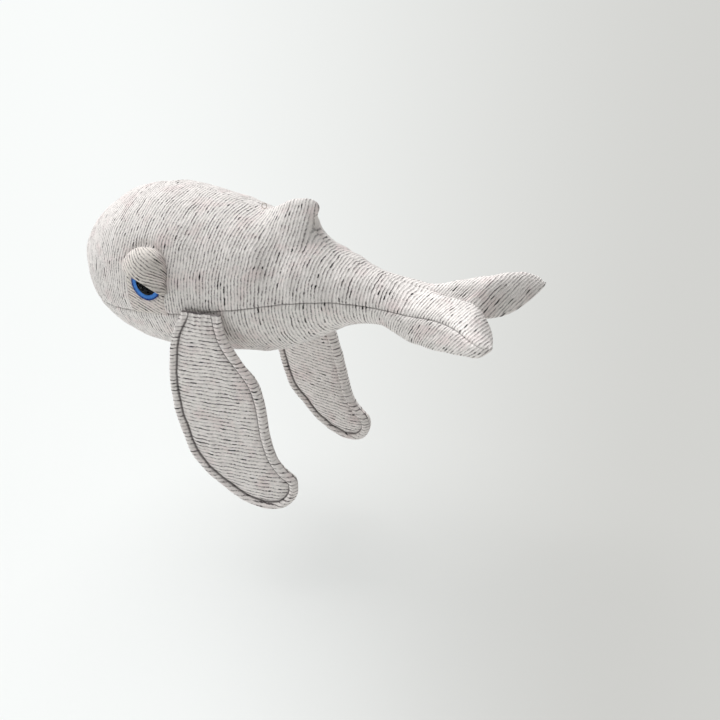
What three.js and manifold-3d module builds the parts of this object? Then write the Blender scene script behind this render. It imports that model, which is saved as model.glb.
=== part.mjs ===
// A stuffed jersey whale, 0.4 m long, hung by a thread loop on its crown.
// Millimetres, +Z up. The nose points to -X, the tail to +X, the whale's left side to -Y.
// The origin is the top of the thread loop, on the plane of symmetry.
import * as THREE from "three";
import { mergeVertices } from "three/addons/utils/BufferGeometryUtils.js";
import Module from "manifold-3d";

const wasm = await Module();
wasm.setup();

// Body and flukes, cut in one from the same panels
const bodyLength = 374; // nose to the notch of the flukes
const bodyHeight = 137;
const bodyWidth = 138;
const loopFromNose = 178;
const restFlatDepth = 0.5; // the belly is pressed flat this deep where it lies on a table
// Along the middle, then over the axis as shares of the height: the section's centre, its half height
// and its side seam. Then its half width as a share of the width, how far its ends sweep back as one
// of the length, and the power that makes its corners full where it is under 1.
const bodyShares = [
  [0, 0, 0, -0.2, 0, 0, 1],
  [0.013, 0, 0.14, -0.2, 0.145, 0, 1],
  [0.04, -0.002, 0.25, -0.2, 0.255, 0, 1],
  [0.085, -0.004, 0.365, -0.2, 0.365, 0, 1],
  [0.154, -0.003, 0.463, -0.195, 0.458, 0, 1],
  [0.236, 0, 0.5, -0.175, 0.495, 0, 1],
  [0.326, -0.004, 0.494, -0.15, 0.485, 0, 1],
  [0.42, -0.015, 0.458, -0.104, 0.445, 0, 1],
  [0.513, -0.016, 0.404, -0.055, 0.392, 0, 1],
  [0.594, -0.012, 0.318, -0.01, 0.32, 0, 1],
  [0.66, 0.004, 0.228, 0.01, 0.25, 0, 1],
  [0.72, 0.011, 0.163, 0.01, 0.196, 0, 0.95],
  [0.773, 0.006, 0.137, 0.01, 0.172, 0, 0.9],
  [0.845, -0.036, 0.15, 0.018, 0.205, 0.003, 0.78],
  [0.905, -0.014, 0.152, 0.04, 0.265, 0.01, 0.7],
  [0.95, 0.009, 0.154, 0.056, 0.355, 0.022, 0.66],
  [0.975, 0.035, 0.134, 0.064, 0.436, 0.036, 0.66],
  [0.987, 0.049, 0.108, 0.066, 0.458, 0.046, 0.7],
  [0.9966, 0.06, 0.059, 0.064, 0.442, 0.053, 0.8],
  [1, 0.064, 0, 0.064, 0, 0.056, 1],
];
const headRowShare = 0.35; // of all rows, for the head up to the row below
const headShareRow = 5;
const endPower = 60; // an inner form's nose and trailing edge move in, its rows between them stay
const tailTwist = 5; // degrees, the left fluke hangs lower than the right one
const twistFromNose = 269;

// Dorsal fin, also cut in one with the back panels
const dorsalHeight = 46; // whole lobe, of which the lower part is inside the back
const dorsalTopHeight = 72; // over the body's axis
const dorsalThickness = 17;
const dorsalFromNose = 212;
// up the lobe, then its front and rear edge from there and its thickness, as shares of height and thickness
const dorsalShares = [
  [0, -0.5, -0.5, 0],
  [0.06, -1, 0.1, 0.8],
  [0.3, -0.92, 0.2, 1],
  [0.57, -0.66, 0.25, 1],
  [0.7, -0.5, 0.32, 0.95],
  [0.82, -0.33, 0.38, 0.85],
  [0.91, -0.17, 0.38, 0.7],
  [0.98, 0, 0.28, 0.4],
  [1, 0.14, 0.14, 0],
];

// Covers and filling
const coverThickness = 2.4; // jersey with its backing and seam allowance
const seamGap = 0.4;
const fillingGap = 0.3;

// Waist, where the tail bends up and down
const waistFromNose = 257;
const waistRadius = 35;
const waistGap = 0.6;

// Pectoral fins, in their own plane: chord along the root, span down from it
const finLength = 159;
const finThickness = 12;
const finRootRadius = 3.8;
const finRootClearance = 0.5;
const finFromNose = 159.5;
const finSplay = 4.7; // degrees from hanging straight
const finSeatBelowAxis = 13.5;
const finFullness = 0.7; // under 1 makes the edges full
const finRimWidth = 7; // the stuffed roll outside the stitched channel
const finChannelGap = 0.8;
// span, then front and rear edge along the chord, all as shares of the length
const finShares = [
  [0, -0.11, 0.1],
  [0.1, -0.158, 0.125],
  [0.2, -0.18, 0.19],
  [0.3, -0.186, 0.275],
  [0.4, -0.183, 0.316],
  [0.5, -0.168, 0.338],
  [0.6, -0.141, 0.356],
  [0.7, -0.105, 0.388],
  [0.76, -0.075, 0.434],
  [0.8, -0.041, 0.49],
  [0.85, 0.0125, 0.506],
  [0.9, 0.078, 0.498],
  [0.95, 0.156, 0.464],
  [0.985, 0.238, 0.41],
  [1, 0.325, 0.325],
];

// Eyes
const eyeFromNose = 110;
const eyeAboveAxis = 5;
const lensRadius = 14;
const lensHeight = 6.5;
const irisThickness = 0.8;
const pupilRadius = 9.7;
const backingThickness = 1.4;
const backingSink = 1.2; // the backing is pressed this deep into the cover
const postRadius = 3;
const postLength = 15;
const washerRadius = 9;
const washerThickness = 1.4;
const eyeClearance = 0.3;

// Eyelids
const lidRadius = 20;
const lidHeight = 17; // how far the lid's dome reaches out from the eye's seat
const lidRaise = 9.2; // the dome's centre over the eye's
const lidBehind = -2.2; // and behind it
const lidSlope = 23; // degrees, the lower edge falls towards the tail
const lidEdgeBelowEye = 1; // the lower edge, measured square to it from the eye's centre
const lidTilt = 32; // degrees, the lid's underside rises outwards
const lidCoverThickness = 1.8;
const patchLength = 34; // lower eyelid, let into the back panel from the eye down to the seam
const patchForward = 20; // its front edge ahead of the eye

// Thread loop
const loopRadius = 2.2;
const threadRadius = 0.35;

const overrun = 40; // how far a cutting solid reaches past what it cuts

const bodySides = 24;
const bodyRows = 26;
const finSides = 12;
const finRows = 15;

const cream = 0xd9d5cf;
const materials = {
  back: new THREE.MeshStandardMaterial({ color: cream, roughness: 0.95, metalness: 0 }),
  belly: new THREE.MeshStandardMaterial({ color: 0xdcd8d2, roughness: 0.95, metalness: 0 }),
  fin: new THREE.MeshStandardMaterial({ color: 0xcfcac4, roughness: 0.95, metalness: 0 }),
  filling: new THREE.MeshStandardMaterial({ color: 0xf2f0ec, roughness: 1, metalness: 0 }),
  lens: new THREE.MeshStandardMaterial({ color: 0xe8f0f8, roughness: 0.05, metalness: 0 }),
  iris: new THREE.MeshStandardMaterial({ color: 0x2f62b8, roughness: 0.25, metalness: 0 }),
  pupil: new THREE.MeshStandardMaterial({ color: 0x050608, roughness: 0.2, metalness: 0 }),
  plastic: new THREE.MeshStandardMaterial({ color: 0x16181c, roughness: 0.5, metalness: 0 }),
  thread: new THREE.MeshStandardMaterial({ color: 0x4a4744, roughness: 0.9, metalness: 0 }),
};

const radians = THREE.MathUtils.degToRad;
const noseX = -loopFromNose;

// The row of a table of shares at one share of its first column, on a smooth curve through its rows.
function rowAt(shares, along) {
  const last = shares.length - 1;
  let i = 0;
  while (i < last - 1 && along > shares[i + 1][0]) i += 1;
  const [a, b] = [shares[i], shares[i + 1]];
  const before = shares[Math.max(i - 1, 0)];
  const after = shares[Math.min(i + 2, last)];
  const width = b[0] - a[0];
  const t = Math.min(Math.max((along - a[0]) / width, 0), 1);
  return a.map((start, k) => {
    const end = b[k];
    const leave = ((end - before[k]) / (b[0] - before[0])) * width;
    const arrive = ((after[k] - start) / (after[0] - a[0])) * width;
    const t2 = t * t;
    const t3 = t2 * t;
    const ends = (2 * t3 - 3 * t2 + 1) * start + (3 * t2 - 2 * t3) * end;
    return ends + (t3 - 2 * t2 + t) * leave + (t3 - t2) * arrive;
  });
}

// A closed form between two end points: rows of vertices around it, each put where
// place(row share, angle) says. Its facets mirror each other across angle 90 degrees.
function form(rows, sides, place) {
  const points = [place(0, 0)];
  for (let i = 1; i < rows; i += 1)
    for (let k = 0; k < sides; k += 1) points.push(place(i / rows, (2 * Math.PI * k) / sides));
  points.push(place(1, 0));
  const at = (i, k) => {
    if (i === 0) return 0;
    return i === rows ? points.length - 1 : 1 + (i - 1) * sides + (k % sides);
  };
  const faces = [];
  for (let i = 0; i < rows; i += 1)
    for (let k = 0; k < sides; k += 1) {
      const [a, b, c, d] = [at(i, k), at(i, k + 1), at(i + 1, k + 1), at(i + 1, k)];
      const frontHalf = 4 * k < sides || 4 * k >= 3 * sides;
      const two = frontHalf ? [[a, b, c], [a, c, d]] : [[a, b, d], [b, c, d]];
      faces.push(...two.filter((face) => new Set(face).size === 3).flat());
    }
  return new THREE.BufferGeometry().setFromPoints(points).setIndex(faces);
}

// The geometry with only positions left and its shared vertices merged.
function welded(geometry) {
  const bare = geometry.clone();
  bare.deleteAttribute("normal");
  bare.deleteAttribute("uv");
  return mergeVertices(bare);
}

// The form with every vertex moved in along its normal.
function inset(geometry, depth) {
  const inner = geometry.clone();
  inner.computeVertexNormals();
  const [p, n] = [inner.attributes.position, inner.attributes.normal];
  for (let i = 0; i < p.count; i += 1)
    p.setXYZ(i, p.getX(i) - depth * n.getX(i), p.getY(i) - depth * n.getY(i), p.getZ(i) - depth * n.getZ(i));
  inner.deleteAttribute("normal");
  return inner;
}

function solid(geometry) {
  const shape = welded(geometry);
  return new wasm.Manifold(
    new wasm.Mesh({
      numProp: 3,
      vertProperties: shape.attributes.position.array,
      triVerts: new Uint32Array(shape.index.array),
    }),
  );
}

// A box given by its lowest and highest corners, as a cutting solid.
function block(low, high) {
  const size = high.map((h, i) => h - low[i]);
  const box = new THREE.BoxGeometry(...size);
  return solid(box.translate(...low.map((l, i) => l + size[i] / 2)));
}

// A cylinder along Y through one point, as a cutting solid.
function barAcross(radius, length, x, z, sides = 48) {
  return solid(new THREE.CylinderGeometry(radius, radius, length, sides).translate(x, 0, z));
}

// An outline in the plane of X and Z, extruded along Y to both sides.
function slab(points, halfDepth) {
  const shape = new THREE.Shape(points.map(([x, z]) => new THREE.Vector2(x, z)));
  const bar = new THREE.ExtrudeGeometry(shape, { depth: 2 * halfDepth, bevelEnabled: false });
  return solid(bar.rotateX(Math.PI / 2).translate(0, halfDepth, 0));
}

// The largest piece of a solid, so that no sliver of a cut is left beside it.
function mainPiece(made) {
  return made.decompose().sort((a, b) => b.volume() - a.volume())[0];
}

const whale = new THREE.Group();
const crownRow = rowAt(bodyShares, loopFromNose / bodyLength);
const axisDrop = bodyHeight * (crownRow[1] + crownRow[2]) + 2 * (loopRadius + threadRadius) + seamGap;
whale.position.z = -axisDrop;

function piece(name, made, material, parent = whale) {
  const { vertProperties, triVerts } = mainPiece(made).getMesh();
  const geometry = new THREE.BufferGeometry()
    .setAttribute("position", new THREE.BufferAttribute(vertProperties, 3))
    .setIndex(new THREE.BufferAttribute(triVerts, 1));
  geometry.computeVertexNormals();
  const mesh = new THREE.Mesh(geometry, material);
  mesh.name = name;
  parent.add(mesh);
}

// A group for the left side's pieces, and one that mirrors it for the right side's.
const flanks = ["left", "right"].map((side) => {
  const group = new THREE.Group();
  if (side === "right") group.scale.y = -1;
  whale.add(group);
  return { side, group };
});

function pair(name, made, material, place = (group) => group) {
  for (const { side, group } of flanks) piece(`${side}_${name}`, made, material, place(group));
}

// A sine or cosine raised to a power, with its own sign
function swollen(wave, power) {
  return Math.sign(wave) * Math.abs(wave) ** power;
}

// Body and flukes as one form, built smaller by depth all round for the lining and the filling
function bodyForm(depth) {
  const headEnd = bodyShares[headShareRow][0];
  return form(bodyRows, bodySides, (row, angle) => {
    const inHead = row < headRowShare;
    const turn = (Math.PI / 2) * (inHead ? row / headRowShare : (row - headRowShare) / (1 - headRowShare));
    const along = inHead ? headEnd * (1 - Math.cos(turn)) : headEnd + (1 - headEnd) * Math.sin(turn);
    const [, centre, high, , wide, sweep, power] = rowAt(bodyShares, along);
    const y = Math.max(bodyWidth * wide - depth, 0) * swollen(Math.cos(angle), power);
    const swept = wide > 0 ? bodyLength * sweep * (y / (bodyWidth * wide)) ** 2 : 0;
    const endShift = depth * ((1 - along) ** endPower - along ** endPower);
    return new THREE.Vector3(
      noseX + bodyLength * along + endShift + swept,
      y,
      bodyHeight * centre + Math.max(bodyHeight * high - depth, 0) * swollen(Math.sin(angle), power),
    );
  });
}

// The dorsal lobe, whose rows run upwards, built smaller by depth all round
function dorsalForm(depth) {
  return form(10, 12, (row, angle) => {
    const up = (1 - Math.cos(Math.PI * row)) / 2;
    const [, front, rear, thick] = rowAt(dorsalShares, up);
    const half = Math.max((dorsalHeight * (rear - front)) / 2 - depth, 0);
    return new THREE.Vector3(
      noseX + dorsalFromNose + (dorsalHeight * (front + rear)) / 2 - half * Math.sin(angle),
      Math.max((dorsalThickness * thick) / 2 - depth, 0) * Math.cos(angle),
      dorsalTopHeight - depth - (dorsalHeight - 2 * depth) * (1 - up),
    );
  });
}

// Body, flukes and dorsal fin joined
function wholeForm(depth) {
  return solid(bodyForm(depth)).add(solid(dorsalForm(depth)));
}

const reachX = bodyLength + overrun;
const restZ = -bodyHeight / 2 + restFlatDepth;
const underRest = block([-reachX, -reachX, -reachX], [reachX, reachX, restZ]);
const skin = wholeForm(0).subtract(underRest);
const lining = wholeForm(coverThickness).subtract(underRest.translate(0, 0, coverThickness));
const fillingForm = wholeForm(coverThickness + fillingGap)
  .subtract(underRest.translate(0, 0, coverThickness + fillingGap));
const cover = skin.subtract(lining.add(fillingForm));

// Everything under the side seam, lowered by drop
function underSeam(drop) {
  const seam = bodyShares.map(([along, , , height, , sweep]) => [
    noseX + bodyLength * (along + sweep),
    bodyHeight * height - drop,
  ]);
  seam.pop();
  const [first, last] = [seam[0], seam[seam.length - 1]];
  return slab(
    [
      [first[0] - overrun, -reachX],
      [last[0] + overrun, -reachX],
      [last[0] + overrun, last[1]],
      ...seam.reverse(),
      [first[0] - overrun, first[1]],
    ],
    bodyWidth,
  );
}

const bellySide = underSeam(seamGap / 2);
const notBack = underSeam(-seamGap / 2);
// A solid of the tail turned about the body's axis, more and more towards the flukes
function twisted(made, sense = 1) {
  return made.warp((point) => {
    const share = THREE.MathUtils.smoothstep(point[0], noseX + twistFromNose, noseX + bodyLength);
    point[2] += sense * share * point[1] * Math.tan(radians(tailTwist));
  });
}

const leftHalf = block([-reachX, -reachX, -reachX], [reachX, -seamGap / 2, reachX]);

// Waist: the tail's round front turns in a hollow of the torso
const waistX = noseX + waistFromNose;
const waistZ = bodyHeight * rowAt(bodyShares, waistFromNose / bodyLength)[1];
const beforeWaist = block([-reachX, -reachX, -reachX], [waistX, reachX, reachX]);
const torsoSide = beforeWaist.subtract(barAcross(waistRadius + waistGap, reachX, waistX, waistZ));
const behindWaist = block([waistX, -reachX, -reachX], [reachX, reachX, reachX]);
const tailSide = behindWaist.add(barAcross(waistRadius, reachX, waistX, waistZ));

// How far the flank lies from the plane of symmetry, and how far its flat facets lie inside that curve
function flankAt(fromNose, aboveAxis) {
  const [, centre, high, , wide] = rowAt(bodyShares, fromNose / bodyLength);
  return bodyWidth * wide * Math.sqrt(1 - ((aboveAxis / bodyHeight - centre) / high) ** 2);
}

const facetSlack = (bodyWidth / 2) * (1 - Math.cos(Math.PI / bodySides));

// Eyes, made about their own centre with +Z out of the head, then laid on the flank
const eyeX = noseX + eyeFromNose;
const eyeSeatDepth = flankAt(eyeFromNose, eyeAboveAxis);
const eyeSeat = new THREE.Matrix4()
  .makeRotationX(Math.PI / 2)
  .setPosition(eyeX, -eyeSeatDepth, eyeAboveAxis);

function laid(geometry) {
  return solid(geometry.applyMatrix4(eyeSeat));
}

// A solid of revolution about Z through the points of its half section.
function turned(profile, sideCount = 18) {
  return new THREE.LatheGeometry(profile.map(([r, z]) => new THREE.Vector2(r, z)), sideCount).rotateX(Math.PI / 2);
}

function disc(radius, low, high, sideCount = 18) {
  return turned([[0, low], [radius, low], [radius, high], [0, high]], sideCount);
}

function ring(inner, outer, low, high, sideCount = 18) {
  return turned([[inner, low], [outer, low], [outer, high], [inner, high], [inner, low]], sideCount);
}

const irisLow = backingThickness - backingSink + eyeClearance;
const lensLow = irisLow + irisThickness + eyeClearance;
const domeRadius = (lensRadius ** 2 + lensHeight ** 2) / (2 * lensHeight);
const domeProfile = [[0, lensLow], [lensRadius, lensLow]];
const domeSteps = 4;
for (let i = domeSteps; i >= 0; i -= 1) {
  const turn = (Math.asin(lensRadius / domeRadius) * i) / domeSteps;
  const z = lensLow + 1 + lensHeight - domeRadius * (1 - Math.cos(turn));
  domeProfile.push([domeRadius * Math.sin(turn), z]);
}
const postLow = -backingSink - postLength;
const washerHigh = -coverThickness - eyeClearance - washerRadius ** 2 / bodyHeight - 2 * facetSlack;
const washerLow = washerHigh - washerThickness;

pair("eye_lens", laid(turned(domeProfile)), materials.lens);
pair("eye_iris", laid(ring(pupilRadius + eyeClearance, lensRadius, irisLow, irisLow + irisThickness)), materials.iris);
pair("eye_pupil", laid(disc(pupilRadius, irisLow, irisLow + irisThickness)), materials.pupil);
const backing = laid(
  turned(
    [[0, postLow], [postRadius, postLow], [postRadius, -backingSink], [lensRadius, -backingSink],
      [lensRadius, irisLow - eyeClearance], [0, irisLow - eyeClearance]],
  ),
);
pair("eye_post", backing, materials.plastic);
pair(
  "eye_washer",
  laid(ring(postRadius + eyeClearance, washerRadius, washerLow, washerHigh)),
  materials.plastic,
);

const postHole = laid(disc(postRadius + 2 * eyeClearance, postLow - overrun, overrun));
const backingSeat = laid(disc(lensRadius + eyeClearance, -backingSink - eyeClearance, overrun));
const washerRoom = laid(disc(washerRadius + eyeClearance, postLow - eyeClearance, 0));
const lensRoom = laid(disc(lensRadius + eyeClearance, -overrun, lensLow + 1 + lensHeight + eyeClearance));

// Upper eyelid: a stuffed half dome with a straight lower edge over the eye
const lidForm = form(9, 14, (row, angle) => new THREE.Vector3(
  lidBehind + lidRadius * Math.sin(Math.PI * row) * Math.cos(angle),
  lidRaise - lidRadius * Math.cos(Math.PI * row),
  -lidHeight * Math.sin(Math.PI * row) * Math.sin(angle),
));

function aboveLidEdge(raise) {
  const size = 2 * (lidRadius + overrun);
  const box = new THREE.BoxGeometry(size, size, size).translate(0, size / 2 - lidEdgeBelowEye + raise, 0);
  return laid(box.rotateX(-radians(lidTilt)).rotateZ(-radians(lidSlope)));
}

const lidWhole = laid(lidForm.clone()).intersect(aboveLidEdge(0));
const lidHollow = laid(inset(lidForm, lidCoverThickness)).intersect(aboveLidEdge(lidCoverThickness));
const lidFilling = laid(inset(lidForm, lidCoverThickness + fillingGap))
  .intersect(aboveLidEdge(lidCoverThickness + fillingGap));
const headClear = solid(bodyForm(-fillingGap));
const lidFillingClear = solid(bodyForm(-2 * fillingGap));
pair("upper_eyelid", lidWhole.subtract(lidHollow).subtract(headClear).subtract(lensRoom), materials.back);
pair("upper_eyelid_filling", lidFilling.subtract(lidFillingClear).subtract(lensRoom), materials.filling);

// Lower eyelid: let into the back panel between the eye and the side seam
function patchSlab(grow) {
  const front = eyeX - patchForward - grow;
  const rear = front + patchLength + 2 * grow;
  const slope = Math.tan(radians(lidSlope));
  const edge = (x) => eyeAboveAxis - slope * (x - eyeX) + grow;
  const low = -bodyHeight;
  return slab([[front, low], [rear, low], [rear, edge(rear)], [front, edge(front)]], bodyWidth);
}

const leftBack = cover.intersect(leftHalf).subtract(notBack);
pair(
  "lower_eyelid",
  leftBack.intersect(patchSlab(0)).subtract(postHole).subtract(backingSeat),
  materials.back,
);
const leftBackTorso = leftBack
  .intersect(torsoSide)
  .subtract(patchSlab(seamGap))
  .subtract(postHole)
  .subtract(backingSeat);
pair("back_panel", leftBackTorso, materials.back);
piece("belly_panel", cover.intersect(bellySide).intersect(torsoSide), materials.belly);

const washerRooms = washerRoom.add(washerRoom.mirror([0, 1, 0]));
piece("body_filling", fillingForm.intersect(torsoSide).subtract(washerRooms), materials.filling);

const leftTail = leftBack.intersect(tailSide);
for (const { side, group } of flanks)
  piece(`${side}_tail_back_panel`, twisted(leftTail, side === "left" ? 1 : -1), materials.back, group);
piece("tail_belly_panel", twisted(cover.intersect(bellySide).intersect(tailSide)), materials.belly);
piece("tail_filling", twisted(fillingForm.intersect(tailSide)), materials.filling);

// Pectoral fins, in their own plane: X along the root, -Z down the span, Y through the thickness.
// The form is built smaller by depth all round for the lining and the filling.
function finForm(depth) {
  const span = finLength - depth;
  return form(finRows, finSides, (row, angle) => {
    const along = (1 - Math.cos(Math.PI * row)) / 2;
    const [, front, rear] = rowAt(finShares, (span * along) / finLength);
    const half = Math.max((finLength * (rear - front)) / 2 - depth, 0);
    const blunt = row === 0 || row === 1 ? 0 : Math.sin(Math.PI * Math.max(row, 0.5)) ** 0.5;
    const swell = Math.sin(Math.PI * Math.min(along, 0.5));
    const thick = finRootRadius + (finThickness / 2 - finRootRadius) * swell;
    const sin = Math.sin(angle);
    return new THREE.Vector3(
      (finLength * (front + rear)) / 2 + half * Math.cos(angle),
      -Math.max(thick * blunt - depth, 0) * Math.sign(sin) * Math.abs(sin) ** finFullness,
      -span * along,
    );
  });
}

const [, rootFront, rootRear] = finShares[0].map((share) => finLength * share);
const rootBar = solid(
  new THREE.CylinderGeometry(finRootRadius, finRootRadius, rootRear - rootFront, 20)
    .rotateZ(Math.PI / 2)
    .translate((rootFront + rootRear) / 2, 0, 0),
);
const finWhole = solid(finForm(0)).add(rootBar);
const finLining = solid(finForm(coverThickness));
const finFilling = solid(finForm(coverThickness + fillingGap));
const finCover = finWhole.subtract(finLining);
const finOuterHalf = block([-reachX, -reachX, -reachX], [reachX, -seamGap / 2, reachX]);
const finInnerHalf = block([-reachX, seamGap / 2, -reachX], [reachX, reachX, reachX]);

// The stitched channel's outline: the fin's edges moved in by the roll's width
function channel(grow) {
  const depth = finRimWidth - grow;
  const spans = [-0.1, 0, 0.1, 0.2, 0.3, 0.4, 0.5, 0.6, 0.7, 0.76, 0.82, 0.88, 0.93];
  const [front, rear] = [1, 2].map((column) => spans.map((span) => {
    const edge = rowAt(finShares, Math.max(span, 0))[column];
    return [finLength * edge + (column === 1 ? depth : -depth), -finLength * span];
  }));
  return slab([...front, ...rear.reverse()], finThickness);
}

const hingeX = noseX + finFromNose;
const rootFlank = [rootFront, 0, rootRear].map((along) => flankAt(finFromNose + along, -finSeatBelowAxis));
const finToeIn = Math.atan2(rootFlank[0] - rootFlank[2], rootRear - rootFront);
const hingeY = -(rootFlank[1] + finRootRadius + finRootClearance);

function finGroup(group) {
  const hinge = new THREE.Group();
  hinge.position.set(hingeX, hingeY, -finSeatBelowAxis);
  hinge.rotation.z = finToeIn;
  const blade = new THREE.Group();
  blade.rotation.x = -radians(finSplay);
  hinge.add(blade);
  group.add(hinge);
  return blade;
}

pair("fin_outer_panel", finCover.intersect(finOuterHalf), materials.fin, finGroup);
pair("fin_inner_panel", finCover.intersect(finInnerHalf), materials.fin, finGroup);
pair("fin_padding", finFilling.intersect(channel(0)), materials.filling, finGroup);
pair("fin_rim_filling", finFilling.subtract(channel(finChannelGap)), materials.filling, finGroup);

// Thread loop, sewn into the crown seam
const loop = new THREE.TorusGeometry(loopRadius, threadRadius, 6, 16)
  .rotateX(Math.PI / 2)
  .translate(0, 0, axisDrop - loopRadius - threadRadius);
piece("hang_loop", solid(loop), materials.thread);

export default whale;
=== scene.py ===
"""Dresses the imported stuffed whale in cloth, in metres and in the CAD's frame."""

import logging
import math
from dataclasses import dataclass, field
from enum import Enum
from typing import Any, Sequence

import bmesh
import bpy
import numpy as np
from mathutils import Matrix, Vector


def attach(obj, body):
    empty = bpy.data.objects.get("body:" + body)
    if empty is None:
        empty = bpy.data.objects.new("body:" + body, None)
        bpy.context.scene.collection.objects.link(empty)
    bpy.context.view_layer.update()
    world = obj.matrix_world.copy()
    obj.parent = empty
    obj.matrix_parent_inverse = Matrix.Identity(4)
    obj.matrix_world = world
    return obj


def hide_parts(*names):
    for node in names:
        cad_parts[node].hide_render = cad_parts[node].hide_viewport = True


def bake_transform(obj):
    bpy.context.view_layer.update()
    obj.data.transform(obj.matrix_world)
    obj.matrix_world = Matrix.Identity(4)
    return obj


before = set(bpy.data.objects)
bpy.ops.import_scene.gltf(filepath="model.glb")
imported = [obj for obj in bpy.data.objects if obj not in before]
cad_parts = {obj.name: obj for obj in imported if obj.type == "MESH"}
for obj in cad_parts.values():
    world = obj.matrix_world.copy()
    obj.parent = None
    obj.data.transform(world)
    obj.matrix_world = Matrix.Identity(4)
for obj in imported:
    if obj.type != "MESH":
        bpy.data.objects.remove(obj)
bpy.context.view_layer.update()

Array = np.ndarray
Sheet = tuple[Array, Array, Array]  # points, place on the cloth, distance from a sewn line
Profile = Sequence[tuple[float, float]]  # radius and height of each point
Socket = bpy.types.NodeSocket
Object = bpy.types.Object
Material = bpy.types.Material
Node = bpy.types.Node
Span = tuple[float, float]
Triple = tuple[float, float, float]
Screen = Triple  # a colour as it shows, 0 to 255
Colour = tuple[float, float, float, float]  # a linear colour with its alpha

LOG = logging.getLogger("whale")
MM = 0.001
TINY = 1e-6  # keeps divisors over zero
FLIP_Y = np.array([1, -1, 1])
LEANING = np.array([0.31, 0.2, 0.93])  # a direction that no path here follows


class Side(Enum):
    """A side of the whale, with the sign of its y."""

    LEFT = ("left", -1.0)
    RIGHT = ("right", 1.0)

    @property
    def word(self) -> str:
        """The side's name, as it stands in the names of nodes and pieces."""
        return self.value[0]

    @property
    def sign(self) -> float:
        """The sign of y on this side."""
        return self.value[1]


# Shapes in numbers


def smooth(low: float, high: float, value: Array) -> Array:
    """Rises smoothly from 0 at low to 1 at high.

    Args:
        low: where it starts.
        high: where it ends.
        value: the numbers to map.

    Returns:
        One share for each number.
    """
    t = np.clip((np.asarray(value, float) - low) / (high - low), 0, 1)
    return t * t * (3 - 2 * t)


def tuck(distance: Array, width: float) -> Array:
    """How far cloth turns into a seam, a quarter circle: 1 at the seam, and 0 from width on.

    Args:
        distance: distance from the seam.
        width: how wide the turned edge is.

    Returns:
        A share for each distance.
    """
    t = np.clip(1 - np.asarray(distance, float) / width, 0, 1)
    return 1 - np.sqrt(1 - t * t)


def bell(offset: Array, half: float) -> Array:
    """A soft bump: 1 in its middle, and nearly 0 from twice its half width on.

    Args:
        offset: distance from the middle.
        half: the half width.

    Returns:
        A share for each distance.
    """
    return np.exp(-((offset / half) ** 2))


@dataclass(frozen=True)
class Lumps:
    """Soft lumps in space, made of a few seeded waves: their size, their height and their seed."""

    size: float
    height: float
    seed: int
    waves: int = 14
    spread: Span = (0.7, 1.4)

    def at(self, points: Array) -> Array:
        """How high they are at points.

        Args:
            points: positions, with the last axis x, y, z.

        Returns:
            One number for each point.
        """
        rng = np.random.default_rng(self.seed)
        ways = rng.normal(size=(self.waves, 3))
        ways *= (rng.uniform(*self.spread, self.waves) / np.linalg.norm(ways, axis=1))[:, None]
        phases = rng.uniform(0, 2 * np.pi, self.waves)
        turns = points @ ways.T * (2 * np.pi / self.size) + phases
        return self.height * np.cos(turns).sum(-1) / math.sqrt(self.waves)


def row_at(shares: Array, along: Array) -> Array:
    """Rows of a table of shares on a smooth curve through its rows.

    Args:
        shares: the table, its first column rising.
        along: values of the first column.

    Returns:
        One row of the table for each value.
    """
    along = np.atleast_1d(np.asarray(along, float))
    last = len(shares) - 1
    i = np.clip(np.searchsorted(shares[:, 0], along, side="left") - 1, 0, last - 1)
    a, b = shares[i], shares[i + 1]
    before, after = shares[np.maximum(i - 1, 0)], shares[np.minimum(i + 2, last)]
    width = b[:, :1] - a[:, :1]
    t = np.clip((along[:, None] - a[:, :1]) / width, 0, 1)
    leave = (b - before) / (b[:, :1] - before[:, :1]) * width
    arrive = (after - a) / (after[:, :1] - a[:, :1]) * width
    turn = t * t * (3 - 2 * t)
    slopes = (1 - t) * leave - t * arrive
    return a + turn * (b - a) + t * (1 - t) * slopes


def lengths(line: Array) -> Array:
    """Length along a line of points from its start.

    Args:
        line: points in order.

    Returns:
        The length at each point.
    """
    steps = np.linalg.norm(np.diff(line, axis=0), axis=1)
    return np.concatenate([[0.0], np.cumsum(steps)])


def resample(line: Array, shares: Array) -> Array:
    """Points at given shares of a line's length.

    Args:
        line: points in order.
        shares: from 0 to 1, rising.

    Returns:
        One point for each share.
    """
    at = lengths(line)
    wanted = shares * at[-1]
    return np.stack([np.interp(wanted, at, line[:, k]) for k in range(line.shape[1])], axis=-1)


def smoothed(rows: Array, passes: int) -> Array:
    """Rows evened out with their neighbours, the first and the last one kept.

    Args:
        rows: any array, rows along its first axis.
        passes: how many times.

    Returns:
        A new array of the same shape.
    """
    even = rows.copy()
    for _ in range(passes):
        even[1:-1] = (even[:-2] + 2 * even[1:-1] + even[2:]) / 4
    return even


def crowded(count: int, crowding: float = 0.85) -> Array:
    """Shares from 0 to 1 that stand closer together near both ends.

    Args:
        count: how many steps.
        crowding: 0 for even steps, 1 for those of a cosine.

    Returns:
        count + 1 shares.
    """
    t = np.linspace(0, 1, count + 1)
    return crowding * (1 - np.cos(np.pi * t)) / 2 + (1 - crowding) * t


def from_spot(points: Array, spot: Span) -> tuple[Array, Array]:
    """How far points of a flank lie behind and over a place on it.

    Args:
        points: positions, with the last axis x, y, z.
        spot: the place's x and z.

    Returns:
        The distances along x and along z.
    """
    return points[..., 0] - spot[0], points[..., 2] - spot[1]


def grid_normals(points: Array) -> Array:
    """Unit normals of a grid of points.

    Args:
        points: rows by columns by 3.

    Returns:
        An array of the same shape.
    """
    down = np.gradient(points, axis=0)
    over = np.gradient(points, axis=1)
    normal = np.cross(down, over)
    size = np.linalg.norm(normal, axis=-1, keepdims=True)
    return normal / np.maximum(size, 1e-12)


# Meshes


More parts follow.
